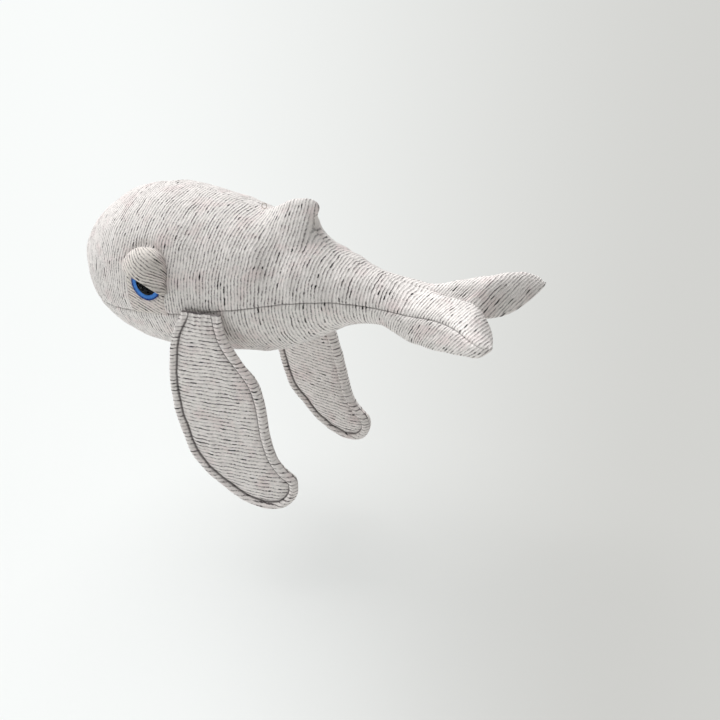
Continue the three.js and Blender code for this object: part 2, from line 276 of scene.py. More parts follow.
def grid_piece(name: str, points: Array, cloth: Array, flip: bool = False, closed: bool = False,
               seam: Array | None = None) -> Object:
    """A smooth mesh over a grid of points, with its place on the flat cloth as a UV map.

    Args:
        name: the piece's name.
        points: rows by columns by 3.
        cloth: rows by columns by 2, metres on the cloth.
        flip: turns the faces round.
        closed: joins the last column to the first.
        seam: rows by columns, metres from the nearest sewn line, for cloth, which is darkened
            towards it with painted shade and thread.

    Returns:
        The new object.
    """
    rows, columns = points.shape[:2]
    index = np.arange(rows * columns).reshape(rows, columns)
    if closed:
        index = np.concatenate([index, index[:, :1]], axis=1)
    corners = [index[:-1, :-1], index[1:, :-1], index[1:, 1:], index[:-1, 1:]]
    if flip:
        corners.reverse()
    faces = np.stack(corners, axis=-1).reshape(-1, 4)
    mesh = bpy.data.meshes.new(name)
    mesh.from_pydata(points.reshape(-1, 3).tolist(), [], faces.tolist())
    maps = {"cloth": cloth}
    if seam is not None:
        maps["seam"] = np.stack([seam, 0 * seam], axis=-1)
    for layer, values in maps.items():
        flat = values.reshape(-1, 2)[faces.ravel()].ravel().astype(np.float32)
        mesh.uv_layers.new(name=layer).data.foreach_set("uv", flat)
    mesh.shade_smooth()
    made = bpy.data.objects.new(name, mesh)
    bpy.context.scene.collection.objects.link(made)
    return made


def merged(made: Object, distance: float = 1e-6) -> Object:
    """The piece with its doubled points joined.

    Args:
        made: a mesh object.
        distance: how close points count as one.

    Returns:
        The same object.
    """
    work = bmesh.new()
    work.from_mesh(made.data)
    bmesh.ops.remove_doubles(work, verts=work.verts, dist=distance)
    bmesh.ops.dissolve_degenerate(work, edges=work.edges, dist=distance / 10)
    work.to_mesh(made.data)
    work.free()
    made.data.shade_smooth()
    return made


def tube(path: Array, radius: float, sides: int) -> Array:
    """A grid round a path.

    Args:
        path: points in order, none of them on a stretch along LEANING.
        radius: the tube's radius.
        sides: how many columns.

    Returns:
        Rows by columns by 3.
    """
    way = np.gradient(path, axis=0)
    way /= np.linalg.norm(way, axis=1, keepdims=True)
    side = np.cross(way, LEANING)
    side /= np.linalg.norm(side, axis=1, keepdims=True)
    other = np.cross(way, side)
    angle = np.linspace(0, 2 * np.pi, sides, endpoint=False)[None, :, None]
    return path[:, None] + radius * (side[:, None] * np.cos(angle) + other[:, None] * np.sin(angle))


# Finishes


@dataclass(frozen=True)
class Cloud:
    """Cloudy noise: how fine it is, which of its values are read, and what they are mapped to."""

    scale: float
    read: Span
    given: Span = (0.0, 1.0)
    detail: float = 2.0
    roughness: float = 0.5


class Recipe:
    """A procedural material, put together node by node."""

    def __init__(self, name: str) -> None:
        """Starts an empty material.

        Args:
            name: the material's name.
        """
        self.material = bpy.data.materials.new(name)
        self.material.use_nodes = True
        self.tree = self.material.node_tree
        self.tree.nodes.clear()

    def node(self, kind: str, settings: dict[str, Any] | None = None, **inputs: Any) -> Node:
        """Adds a node.

        Args:
            kind: the node's type without ShaderNode.
            settings: attributes to set.
            **inputs: sockets by name, or by i and their number: a socket to link or a value.

        Returns:
            The node.
        """
        made = self.tree.nodes.new("ShaderNode" + kind)
        for key, value in (settings or {}).items():
            setattr(made, key, value)
        for key, value in inputs.items():
            numbered = key[0] == "i" and key[1:].isdigit()
            socket = made.inputs[int(key[1:]) if numbered else key.replace("_", " ")]
            if isinstance(value, Socket):
                self.tree.links.new(value, socket)
            else:
                socket.default_value = value
        return made

    def math(self, operation: str, a: Any, b: Any = 0.0, clamp: bool = False) -> Socket:
        """One sum of two numbers or sockets, by Blender's name for it."""
        settings = {"operation": operation, "use_clamp": clamp}
        return self.node("Math", settings, i0=a, i1=b).outputs[0]

    def scaled(self, vector: Socket, factors: Triple) -> Socket:
        """A vector with each of its parts multiplied by a factor."""
        return self.node("VectorMath", {"operation": "MULTIPLY"}, i0=vector, i1=factors).outputs[0]

    def uv(self, layer: str) -> Sequence[Socket]:
        """The parts of a UV map."""
        return self.node("SeparateXYZ", None, Vector=self.place(layer)).outputs

    def place(self, layer: str = "") -> Socket:
        """Where on the piece a point is.

        Args:
            layer: a UV map, or nothing for the object's own coordinates.

        Returns:
            The vector's socket.
        """
        if layer:
            return self.node("UVMap", {"uv_map": layer}).outputs[0]
        return self.node("TexCoord").outputs["Object"]

    def ramp(self, value: Any, read: Span,
             given: Span = (0.0, 1.0)) -> Socket:
        """Maps one range smoothly on to another, and keeps to its ends beyond them.

        Args:
            value: the socket to map.
            read: the values that give the ends.
            given: the results at the ends.

        Returns:
            The result's socket.
        """
        made = self.node("MapRange", {"interpolation_type": "SMOOTHSTEP"}, Value=value)
        for key, number in zip(("From Min", "From Max", "To Min", "To Max"), (*read, *given)):
            made.inputs[key].default_value = number
        return made.outputs[0]

    def noise(self, vector: Socket, scale: float, detail: float, roughness: float) -> Socket:
        """Noise at a place: how fine it is, its finer layers and how strong these are."""
        return self.node("TexNoise", None, Vector=vector, Scale=scale, Detail=detail,
                         Roughness=roughness).outputs[0]

    def cloud(self, vector: Socket, kind: Cloud) -> Socket:
        """Noise of one kind at a place, mapped as it says."""
        noise = self.noise(vector, kind.scale, kind.detail, kind.roughness)
        return self.ramp(noise, kind.read, kind.given)

    def mixed(self, share: Any, a: Any, b: Any) -> Socket:
        """A colour between two.

        Args:
            share: 0 gives a, and 1 gives b.
            a: a colour or its socket.
            b: a colour or its socket.

        Returns:
            The colour's socket.
        """
        made = self.node("Mix", {"data_type": "RGBA"})
        for number, value in ((0, share), (6, a), (7, b)):
            if isinstance(value, Socket):
                self.tree.links.new(value, made.inputs[number])
            else:
                made.inputs[number].default_value = value
        return made.outputs[2]

    def surface(self, tint: Socket, roughness: float,
                relief: tuple[Socket, float, float] | None = None, **more: Any) -> Node:
        """A plain surface shader.

        Args:
            tint: its colour.
            roughness: its roughness.
            relief: height, depth in metres and strength of its bumps.
            **more: its other sockets by name.

        Returns:
            The shader's node.
        """
        if relief:
            height, depth, strength = relief
            bump = self.node("Bump", None, Height=height, Distance=depth, Strength=strength)
            more["Normal"] = bump.outputs[0]
        return self.node("BsdfPrincipled", None, Base_Color=tint, Roughness=roughness, **more)

    def finish(self, shader: Node) -> Material:
        """Ends the material with its last shader node."""
        self.node("OutputMaterial", None, Surface=shader.outputs[0])
        return self.material


def colour(red: float, green: float, blue: float) -> Colour:
    """A linear colour from one as it shows on a screen.

    Args:
        red: its red, 0 to 255.
        green: its green.
        blue: its blue.

    Returns:
        Red, green, blue and alpha.
    """
    parts = [c / 255 for c in (red, green, blue)]
    linear = [c / 12.92 if c <= 0.04045 else ((c + 0.055) / 1.055) ** 2.4 for c in parts]
    return (*linear, 1.0)


@dataclass(frozen=True)
class Stretches:
    """Stretches of a line that differ from the rest of it."""

    length: float  # about how long one is, in millimetres
    seed: float
    read: Span  # the noise at which one begins, and at which it is full
    least: float = 0.0  # what is left between them


@dataclass(frozen=True)
class Jersey:
    """Off-white ribbed jersey with thin broken grey lines in its ribs and long black slubs."""

    name: str
    # lines, in millimetres of cloth, and how their edges fade, as shares of their half width
    pitch: float = 2.58
    line_half: float = 0.36
    line_edge: Span = (0.5, 1.9)
    slub_edge: Span = (0.8, 2.1)
    wobble: Cloud = Cloud(0.06, (0.25, 0.75), (-0.5, 0.5), detail=1.0)
    waver: Cloud = Cloud(0.5, (0.25, 0.75), (-0.24, 0.24), detail=1.0)
    # the noise along the lines: scale, detail and roughness, and how far that of one line lies
    # from that of the next, along and across
    line_noise: Triple = (1.0, 1.0, 0.4)
    line_steps: Span = (7.37, 3.71)
    shown: Stretches = Stretches(8.0, 0.0, (0.3, 0.6), 0.3)
    beaded: Stretches = Stretches(1.6, 4.1, (0.38, 0.58), 0.45)
    darker: Stretches = Stretches(4.5, 1.3, (0.49, 0.64))
    bold: Stretches = Stretches(30.0, 5.7, (0.62, 0.68))
    slubbed: Stretches = Stretches(7.5, 2.9, (0.63, 0.70))
    # the cloth between them
    patches: Cloud = Cloud(0.055, (0.48, 0.72), (0.0, 0.55))
    mottle: Cloud = Cloud(0.16, (0.35, 0.75), (0.0, 0.45), detail=3.0, roughness=0.6)
    fleck: Cloud = Cloud(1.0, (0.38, 0.68), roughness=0.6)
    fleck_shape: Triple = (1.3, 0.28, 1.0)
    fleck_tone: float = 0.5
    fuzz: Cloud = Cloud(1.8, (0.35, 0.7), detail=3.0, roughness=0.7)
    fuzz_relief: float = 0.3
    ground: Screen = (236, 231, 228)
    shade: Screen = (207, 202, 199)
    pink: Screen = (228, 208, 207)
    line: Screen = (132, 127, 126)
    dark: Screen = (86, 80, 81)
    slub: Screen = (34, 31, 33)
    # the painted shadow and dark thread in a sewn line: its strength, and how wide it is, in metres
    seam_shade_and_thread: float = 0.4
    seam_shade_and_thread_edge: Span = (0.2 * MM, 0.8 * MM)
    relief: Span = (0.45 * MM, 0.7)  # its depth and its strength
    roughness: float = 0.95
    gloss: float = 0.2
    sheen: Span = (0.1, 0.5)  # its strength and its roughness

    def stretches(self, r: Recipe, along: Socket, index: Socket, kind: Stretches) -> Socket:
        """Stretches that run along each line and differ from line to line.

        Args:
            r: the recipe.
            along: millimetres along the line.
            index: the line's number.
            kind: what they are like.

        Returns:
            The socket of their strength.
        """
        step, jump = self.line_steps
        run = r.math("ADD", r.math("DIVIDE", along, kind.length),
                     r.math("MULTIPLY", index, step + kind.seed))
        row = r.math("MULTIPLY", index, jump + kind.seed)
        place = r.node("CombineXYZ", None, X=run, Y=row).outputs[0]
        return r.ramp(r.noise(place, *self.line_noise), kind.read, (kind.least, 1.0))

    def material(self) -> Material:
        """Makes the finish.

        Returns:
            The material.
        """
        r = Recipe(self.name)
        cloth = r.scaled(r.place("cloth"), (1 / MM, 1 / MM, 1 / MM))
        across, along, _ = r.node("SeparateXYZ", None, Vector=cloth).outputs
        across = r.math("ADD", r.math("ADD", across, r.cloud(cloth, self.wobble)),
                        r.cloud(cloth, self.waver))
        turns = r.math("DIVIDE", across, self.pitch)
        index = r.math("FLOOR", turns)
        off = r.math("ABSOLUTE", r.math("SUBTRACT", r.math("SUBTRACT", turns, index), 0.5))
        off = r.math("MULTIPLY", off, self.pitch)
        thin, wide = (r.ramp(off, tuple(self.line_half * share for share in edge), (1.0, 0.0))
                      for edge in (self.line_edge, self.slub_edge))
        shown, beaded, darker, bold, slubbed = (
            self.stretches(r, along, index, kind)
            for kind in (self.shown, self.beaded, self.darker, self.bold, self.slubbed))
        tone = r.math("MAXIMUM", r.math("MULTIPLY", shown, beaded), bold)
        darker = r.math("MAXIMUM", darker, bold)
        fleck = r.cloud(r.scaled(cloth, self.fleck_shape), self.fleck)
        fuzz = r.cloud(cloth, self.fuzz)
        tint = r.mixed(r.cloud(cloth, self.patches), colour(*self.ground), colour(*self.pink))
        tint = r.mixed(r.cloud(cloth, self.mottle), tint, colour(*self.shade))
        tint = r.mixed(r.math("MULTIPLY", fleck, self.fleck_tone), tint, colour(*self.shade))
        ink = r.mixed(darker, colour(*self.line), colour(*self.dark))
        tint = r.mixed(r.math("MULTIPLY", thin, tone), tint, ink)
        tint = r.mixed(r.math("MULTIPLY", wide, slubbed), tint, colour(*self.slub))
        # painted shade and dark thread darken the cloth towards each sewn line
        sewn = r.ramp(r.uv("seam")[0], self.seam_shade_and_thread_edge, (self.seam_shade_and_thread, 0.0))
        tint = r.mixed(sewn, tint, colour(*self.dark))
        rib = r.ramp(off, (0.0, self.pitch / 2))
        nap = r.math("MULTIPLY", r.math("ADD", fuzz, fleck), self.fuzz_relief)
        relief = (r.math("ADD", rib, nap), *self.relief)
        return r.finish(r.surface(tint, self.roughness, relief, Sheen_Weight=self.sheen[0],
                                  Sheen_Roughness=self.sheen[1], Specular_IOR_Level=self.gloss))


@dataclass(frozen=True)
class ClearPlastic:
    """Clear moulded plastic, faintly uneven."""

    name: str
    tint: Screen = (250, 252, 254)
    clear: Screen = (255, 255, 255)
    unevenness: Triple = (160.0, 2.0, 0.5)  # scale, detail and roughness of its noise
    index: float = 1.03
    roughness: float = 0.02

    def material(self) -> Material:
        """Makes the finish.

        Returns:
            The material.
        """
        r = Recipe(self.name)
        cloudy = r.noise(r.place(), *self.unevenness)
        tint = r.mixed(cloudy, colour(*self.tint), colour(*self.clear))
        return r.finish(r.surface(tint, self.roughness, IOR=self.index, Transmission_Weight=1.0))


@dataclass(frozen=True)
class PaintedPlastic:
    """Painted or dyed plastic, darker towards one radius and finely streaked outwards."""

    name: str
    inner: Screen
    outer: Screen
    radii: Span = (8 * MM, 14 * MM)
    streaks: float = 0.0
    # the grain: how it is stretched round the disc and from its middle out, its noise, which of its
    # values are read, and the depth and strength of its relief
    rays: Span = (9.0, 90.0)
    grain: Triple = (6.0, 3.0, 0.6)
    grain_read: Span = (0.3, 0.7)
    relief: Span = (0.05 * MM, 0.3)
    roughness: float = 0.3
    gloss: float = 0.03

    def material(self) -> Material:
        """Makes the finish.

        Returns:
            The material.
        """
        r = Recipe(self.name)
        turn, radius, _ = r.uv("cloth")
        ray = r.node("CombineXYZ", None, X=r.math("MULTIPLY", turn, self.rays[0]),
                     Y=r.math("MULTIPLY", radius, self.rays[1])).outputs[0]
        grain = r.noise(ray, *self.grain)
        streaks = r.ramp(grain, self.grain_read, (-self.streaks, self.streaks))
        share = r.math("ADD", r.ramp(radius, self.radii), streaks, clamp=True)
        tint = r.mixed(share, colour(*self.inner), colour(*self.outer))
        return r.finish(r.surface(tint, self.roughness, (grain, *self.relief),
                                  Specular_IOR_Level=self.gloss))


@dataclass(frozen=True)
class DullPlastic:
    """Dark moulded plastic with a fine grain."""

    name: str
    tint: Screen = (26, 28, 32)
    lighter: float = 1.25
    grain: Triple = (900.0, 3.0, 0.5)
    relief: Span = (0.04 * MM, 0.4)
    roughness: float = 0.5

    def material(self) -> Material:
        """Makes the finish.

        Returns:
            The material.
        """
        r = Recipe(self.name)
        grain = r.noise(r.place(), *self.grain)
        tint = r.mixed(grain, colour(*self.tint), colour(*(t * self.lighter for t in self.tint)))
        return r.finish(r.surface(tint, self.roughness, (grain, *self.relief)))


@dataclass(frozen=True)
class SewingThread:
    """Twisted sewing thread."""

    name: str
    tint: Screen = (150, 144, 138)
    lighter: float = 1.5
    fineness: float = 700.0
    unevenness: float = 1.0
    relief: Span = (0.1 * MM, 0.8)
    roughness: float = 0.8

    def material(self) -> Material:
        """Makes the finish.

        Returns:
            The material.
        """
        r = Recipe(self.name)
        twist = r.node("TexWave", {"bands_direction": "DIAGONAL"}, Vector=r.place("cloth"),
                       Scale=self.fineness, Distortion=self.unevenness).outputs[1]
        light = colour(*(min(t * self.lighter, 255) for t in self.tint))
        tint = r.mixed(twist, colour(*self.tint), light)
        return r.finish(r.surface(tint, self.roughness, (twist, *self.relief)))


def dress(made: Object, material: Material) -> Object:
    """Gives a piece its material.

    Args:
        made: the piece.
        material: its finish.

    Returns:
        The same object.
    """
    made.data.materials.clear()
    made.data.materials.append(material)
    return made


# Body


@dataclass
class BodyCover:
    """Back panels with the dorsal fin, and the belly panel: the whole skin of body and flukes."""

    length: float = 374 * MM
    height: float = 137 * MM
    width: float = 138 * MM
    nose_x: float = -178 * MM
    axis_z: float = -62.0749 * MM
    rows: int = 210
    belly_columns: int = 44
    back_columns: int = 92
    # rows stand closer together at the nose and the trailing edge: how much, and over which length
    # of cloth; and at the dorsal fin's notch: how much, its x and half width
    nose_rows: Span = (3, 6 * MM)
    edge_rows: Span = (6, 4 * MM)
    dorsal_rows: Triple = (1.5, 46 * MM, 13 * MM)
    # how finely curves are worked out before they are resampled
    fine_points: int = 4000
    cloth_points: int = 600
    belly_points: int = 120
    back_points: int = 200
    flank_points: int = 90
    ridge_points: int = 60
    ring_points: int = 300
    ring_softness: float = 2 * MM
    # shares of the length: where the blunt head ends, and how far the cloth is measured
    head_share: float = 0.236
    cloth_past: float = 1.1
    # flukes; what is called along is a share of the length. Their back falls and their belly rises
    # towards the seam by these shares, on the left and on the right, but not at the crown
    tail_round: float = 0.962
    tail_along: Span = (0.9, 0.985)
    tail_fall: Span = (0.42, 0.14)
    tail_lift: Span = (0.2, 0.5)
    tail_crown_half: float = 12 * MM
    # the trailing edge droops, more so towards the middle, where it has a notch and a valley
    tail_droop: float = 11 * MM
    notch: float = 12 * MM
    notch_half: float = 14 * MM
    notch_along: Span = (0.85, 1)
    valley: float = 0.85
    valley_half: float = 11 * MM
    valley_along: Span = (0.84, 0.98)
    # how much of the sweep bends at the root and how much at the tip, and how sharply
    sweep_shares: Span = (0.4, 0.6)
    sweep_power: float = 1.7
    twist: float = math.tan(math.radians(5))
    twist_from: float = 0.7193
    # the far fluke's shoulder lies lower: by what share, where, and over what stretch
    far_shoulder: Triple = (0.2, 0.852, 0.03)
    # the far fluke's tip is drawn in past this y
    far_tip_y: float = 50 * MM
    far_tip_along: Span = (0.9, 0.95)
    far_tip_pull: Triple = (0.16, 0.3, 0)
    # seams, and the welts and gathers beside them
    seam_depth: float = 1.3 * MM
    seam_width: float = 2.4 * MM
    crown_depth: float = 0.5 * MM
    crown_width: float = 1.8 * MM
    welt_height: float = 0.35 * MM
    welt_place: float = 4.5 * MM
    welt_half: float = 3 * MM
    gather_height: float = 0.22 * MM
    gather_pitch: float = 7.5 * MM
    gather_reach: float = 4.5 * MM
    gather_drift: Lumps = Lumps(30 * MM, 3, 5)
    # the dorsal fin: its half width, reached where it has risen this far, the spread of its foot,
    # which narrows towards the rear, and the roundness of its flank and of its foot
    dorsal_half: float = 8.5 * MM
    dorsal_rise: float = 8 * MM
    dorsal_power: float = 0.7
    dorsal_spread: float = 0.75
    dorsal_narrowing: float = 0.6
    dorsal_narrow_x: Span = (34 * MM, 48 * MM)
    dorsal_x: Span = (-6 * MM, 57 * MM)
    dorsal_flank_powers: Span = (2.2, 1.5)
    # rows are evened out near the ridge: how often, how near, and between which x
    ridge_passes: int = 60
    ridge_reach: Span = (-4 * MM, 7 * MM)
    ridge_start_x: Span = (18 * MM, 32 * MM)
    ridge_end_x: Span = (62 * MM, 72 * MM)
    # the waist that bends, and the stripes' slant behind it: how steep, and over which x it grows
    waist: Span = (55 * MM, 105 * MM)
    belly_slant: float = 0.85
    belly_slant_x: Span = (85 * MM, 165 * MM)
    back_slant: float = 0.75
    back_slant_x: Span = (115 * MM, 168 * MM)
    # how far apart the left and the right panel lie on the flat cloth, and how wide the first row
    # of the belly panel is at least
    cloth_apart: float = 400 * MM
    belly_least: float = 0.5 * MM
    # stuffing that shows through, calmer towards the trailing edge
    coarse: Lumps = Lumps(50 * MM, 0.65 * MM, 11)
    fine: Lumps = Lumps(20 * MM, 0.28 * MM, 12)
    calm_past: float = 12 * MM
    calm_x: Span = (0.0, 20 * MM)
    # ripples round the waist, and creases at the dorsal fin's rear foot and over the tail
    ripple_x: float = 84 * MM
    ripple_half: float = 22 * MM
    ripple_pitch: float = 17 * MM
    ripple_lean: float = 0.35
    ripple_height: float = 0.3 * MM
    ripple_side: float = 20 * MM
    ripple_drift: Lumps = Lumps(50 * MM, 2, 21)
    crease_depth: float = 0.5 * MM
    crease_place: Span = (46 * MM, 56 * MM)
    crease_slope: float = 0.3
    crease_half: float = 2.2 * MM
    crease_start_x: Span = (30 * MM, 43 * MM)
    crease_end_x: Span = (52 * MM, 56 * MM)
    crease_reach: float = 30 * MM
    tail_crease_x: float = 86 * MM
    tail_crease_lean: float = 0.55
    tail_crease_half: float = 5 * MM
    tail_crease_start_z: Span = (0.0, 20 * MM)
    tail_crease_end_z: Span = (30 * MM, 45 * MM)
    # the flat seat of the eye, and the groove round the upper lid's base
    eye: Span = (-68 * MM, 5 * MM)
    eye_seat: Span = (13 * MM, 21 * MM)
    eye_sink: float = 1.3 * MM
    lid: Span = (-70.2 * MM, 14.2 * MM)
    lid_radius: float = 19.8 * MM
    lid_narrowing: float = 2.6 * MM
    lid_groove: float = 1.7 * MM
    lid_groove_z: Span = (-12 * MM, -4 * MM)
    # along, then centre, half height and side seam over the height, half width over the width,
    # sweep over the length, and the power of the corners
    shares: Array = field(default_factory=lambda: np.array([
        [0, 0, 0, -0.2, 0, 0, 1],
        [0.013, 0, 0.14, -0.2, 0.145, 0, 1],
        [0.04, -0.002, 0.25, -0.2, 0.255, 0, 1],
        [0.085, -0.004, 0.365, -0.2, 0.365, 0, 1],
        [0.154, -0.003, 0.463, -0.195, 0.458, 0, 1],
        [0.236, 0, 0.5, -0.175, 0.495, 0, 1],
        [0.326, -0.004, 0.494, -0.15, 0.485, 0, 1],
        [0.42, -0.015, 0.458, -0.104, 0.445, 0, 1],
        [0.513, -0.016, 0.404, -0.055, 0.392, 0, 1],
        [0.594, -0.012, 0.318, -0.01, 0.32, 0, 1],
        [0.66, 0.004, 0.228, 0.01, 0.25, 0, 1],
        [0.72, 0.011, 0.163, 0.01, 0.196, 0, 0.95],
        [0.773, 0.006, 0.137, 0.01, 0.172, 0, 0.9],
        [0.845, -0.036, 0.15, 0.018, 0.205, 0.003, 0.78],
        [0.905, -0.014, 0.152, 0.054, 0.265, 0.01, 0.7],
        [0.95, 0.009, 0.154, 0.077, 0.355, 0.022, 0.66],
        [0.975, 0.035, 0.128, 0.081, 0.436, 0.036, 0.66],
        [0.99, 0.052, 0.09, 0.071, 0.462, 0.049, 0.72],
        [1, 0.064, 0, 0.064, 0.435, 0.056, 0.9],
    ]))
    # the dorsal fin's ridge on the plane of symmetry: x, z over the body's axis, and x of the row
    # that ends there
    ridge: Array = field(default_factory=lambda: MM * np.array([
        [-6, 0, -6], [4, 58.6, 1], [14, 61.6, 8], [22, 65.4, 14], [30, 69.8, 20],
        [37.5, 72.4, 25], [44.5, 73.4, 29], [51.2, 71.6, 33], [54.6, 67, 35.5], [53, 61.4, 38],
        [46.8, 56.6, 40.5], [43.4, 51.2, 43], [46.5, 46.4, 48], [57, 0, 57],
    ]))

    def closing(self, along: Array) -> Array:
        """How far shares of the length lie into the rounded trailing edge, from 0 to 1."""
        return np.clip((along - self.tail_round) / (1 - self.tail_round), 0, 1)

    def section(self, along: Array) -> dict[str, Array]:
        """The sizes of the body's sections.

        Args:
            along: shares of the length.

        Returns:
            Centre, half height, seam, half width and sweep in metres, and the corners' power.
        """
        row = row_at(self.shares, along)
        closing = self.closing(np.atleast_1d(along))
        last = row_at(self.shares, [self.tail_round])[0, 2]
        high = np.where(closing > 0, last * np.sqrt(1 - closing**2), row[:, 2])
        return {
            "centre": self.height * row[:, 1],
            "high": self.height * high,
            "seam": self.height * row[:, 3],
            "wide": self.width * row[:, 4],
            "sweep": self.length * row[:, 5],
            "power": row[:, 6],
        }

    def flank(self, x: Array, z: Array) -> Array:
        """How far the plain body reaches sideways.

        Args:
            x: along the body.
            z: over its axis.

        Returns:
            The half width there.
        """
        s = self.section((np.asarray(x, float).ravel() - self.nose_x) / self.length)
        up = (np.asarray(z, float).ravel() - s["centre"]) / s["high"]
        return (s["wide"] * np.sqrt(np.clip(1 - up**2, 0, 1))).reshape(np.shape(x))

    def cloth_along(self, x: Array) -> Array:
        """Length of cloth from the nose to a place along the body, longer over the blunt head.

        Args:
            x: along the body.

        Returns:
            Metres of cloth.
        """
        along = np.linspace(0, self.cloth_past, self.cloth_points)
        s = self.section(np.minimum(along, self.head_share))
        line = np.stack([self.nose_x + self.length * along, (s["high"] + s["wide"]) / 2], axis=-1)
        return np.interp(x, line[:, 0], lengths(line))

    def alongs(self) -> Array:
        """Where the rows stand: closer at the nose, the dorsal fin's notch and the trailing edge.

        Returns:
            Shares of the length.
        """
        fine = np.linspace(0, 1, self.fine_points)
        x = self.nose_x + self.length * fine
        cloth = self.cloth_along(x)
        crowd = np.ones_like(x)
        for distance, (extra, reach) in (
                (cloth, self.nose_rows), (cloth[-1] - cloth, self.edge_rows)):
            crowd += extra * np.exp(-distance / reach)
        extra, notch_x, half = self.dorsal_rows
        crowd += extra * bell(x - notch_x, half)
        total = np.concatenate([[0.0], np.cumsum((crowd[1:] + crowd[:-1]) / 2 * np.diff(cloth))])
        return np.interp(np.linspace(0, total[-1], self.rows), total, fine)

    def dorsal_top(self, x: float, crown: float) -> tuple[Array, float]:
        """The point of the dorsal ridge that belongs to one row.

        Args:
            x: the row's place along the body.
            crown: the plain body's height there.

        Returns:
            The ridge's x and z, and how far that is from the plain crown.
        """
        here = np.array([x, crown])
        if not self.dorsal_x[0] < x < self.dorsal_x[1]:
            return here, 0.0
        line = self.ridge[:, :2].copy()
        for end in (0, -1):
            s = self.section([(line[end, 0] - self.nose_x) / self.length])
            line[end, 1] = (s["centre"] + s["high"])[0]
        fine = smoothed(resample(line, np.linspace(0, 1, self.ridge_points)), 2)
        arcs = lengths(line) / lengths(line)[-1]
        share = row_at(np.stack([self.ridge[:, 2], arcs], axis=-1), np.array([x]))[0, 1]
        top = resample(fine, np.array([share]))[0]
        return top, float(np.linalg.norm(top - here))

    def plain_arc(self, x: float, s: dict[str, float], along: float, angle: Array) -> Array:
        """Points of the plain section, with the flukes' sweep, notch and valley.

        Args:
            x: the section's place along the body.
            s: its sizes.
            along: its share of the length.
            angle: angles from the horizontal.

        Returns:
            One point for each angle.
        """
        cos = np.abs(np.cos(angle)) ** s["power"]
        sin = np.sign(np.sin(angle)) * np.abs(np.sin(angle)) ** s["power"]
        y = s["wide"] * cos
        valley = 1 - self.valley * smooth(*self.valley_along, along) * bell(y, self.valley_half)
        root, tip = self.sweep_shares
        back = s["sweep"] * (root * cos**2 + tip * (1 - (1 - cos) ** self.sweep_power))
        back = back - self.notch * smooth(*self.notch_along, along) * bell(y, self.notch_half)
        return np.stack([x + back, y, s["centre"] + s["high"] * sin * valley], axis=-1)

    def half_ring(self, x: float, s: dict[str, float], along: float) -> tuple[Array, Array]:
        """Half of one section on the side of positive y, from the bottom up to the ridge.

        Args:
            x: the section's place along the body.
            s: its sizes.
            along: its share of the length.

        Returns:
            The belly's points up to the side seam, and the back's from there.
        """
        power, above = s["power"], s["centre"] + s["high"]
        lift = np.clip((s["seam"] - s["centre"]) / max(s["high"], TINY), -1, 1)
        seam = math.asin(np.sign(lift) * abs(lift) ** (1 / power))
        belly = self.plain_arc(x, s, along, np.linspace(-np.pi / 2, seam, self.belly_points))
        top, rise = self.dorsal_top(x, above)
        half = self.dorsal_half * min(1.0, rise / self.dorsal_rise) ** self.dorsal_power
        narrow = 1 - self.dorsal_narrowing * float(smooth(*self.dorsal_narrow_x, x))
        flare = self.dorsal_spread * math.sqrt(2 * s["high"] * rise) * narrow
        reach = half + flare
        foot = math.acos((reach / s["wide"]) ** (1 / power)) if s["wide"] > reach else seam
        back = self.plain_arc(x, s, along, np.linspace(seam, foot, self.back_points))
        if rise > 0:
            u = np.linspace(0, 1, self.flank_points)[1:, None]
            crown = np.array([x, above])
            middle = crown + (top - crown) * u
            swell, spread = self.dorsal_flank_powers
            y = half * np.sqrt(1 - u**swell) + flare * (1 - u) ** spread
            z = middle[:, 1:] + (back[-1, 2] - above) * (1 - u)
            back = np.concatenate([back, np.concatenate([middle[:, :1], y, z], axis=1)])
        return belly, self.softened(back)

    def softened(self, line: Array) -> Array:
        """A section's line with its corners rounded, its last point on the plane of symmetry.

        Args:
            line: the points.

        Returns:
            The rounded line.
        """
        even = resample(line, np.linspace(0, 1, self.ring_points))
        sigma = self.ring_softness * (self.ring_points - 1) / max(lengths(line)[-1], TINY)
        pad = int(min(3 * sigma + 1, self.ring_points - 2))
        mirrored = even[-2:-pad - 2:-1] * FLIP_Y
        before = 2 * even[0] - even[pad:0:-1]
        long = np.concatenate([before, even, mirrored])
        kernel = np.exp(-0.5 * (np.arange(-pad, pad + 1) / sigma) ** 2)
        kernel /= kernel.sum()
        made = np.stack([np.convolve(long[:, k], kernel, "valid") for k in range(3)], axis=-1)
        made[0] = even[0]
        return made

    def plain_skin(self) -> tuple[Array, Array]:
        """The skin of one side before seams and folds: a grid from the bottom to the ridge.

        Returns:
            The points, and how far along its column each lies from the side seam, negative on the
            belly.
        """
        alongs = self.alongs()
        sizes = self.section(alongs)
        points, reach = [], []
        for k, along in enumerate(alongs):
            s = {key: float(value[k]) for key, value in sizes.items()}
            belly, back = self.half_ring(self.nose_x + self.length * along, s, along)
            low = resample(belly, crowded(self.belly_columns))
            high = resample(back, crowded(self.back_columns))
            points.append(np.concatenate([low, high[1:]]))
            reach.append(np.concatenate([lengths(low) - lengths(low)[-1], lengths(high)[1:]]))
        points, reach = np.array(points), np.array(reach)
        x = points[..., 0]
        share = smooth(*self.ridge_reach, reach[:, -1:] - reach)
        share = share * smooth(*self.ridge_start_x, x) * (1 - smooth(*self.ridge_end_x, x))
        even = smoothed(points, self.ridge_passes)
        return points + (even - points) * share[..., None], reach

    def over_seam(self, points: Array) -> Array:
        """How far each point lies over the side seam of its row."""
        return points[..., 2] - points[:, self.belly_columns, 2][:, None]

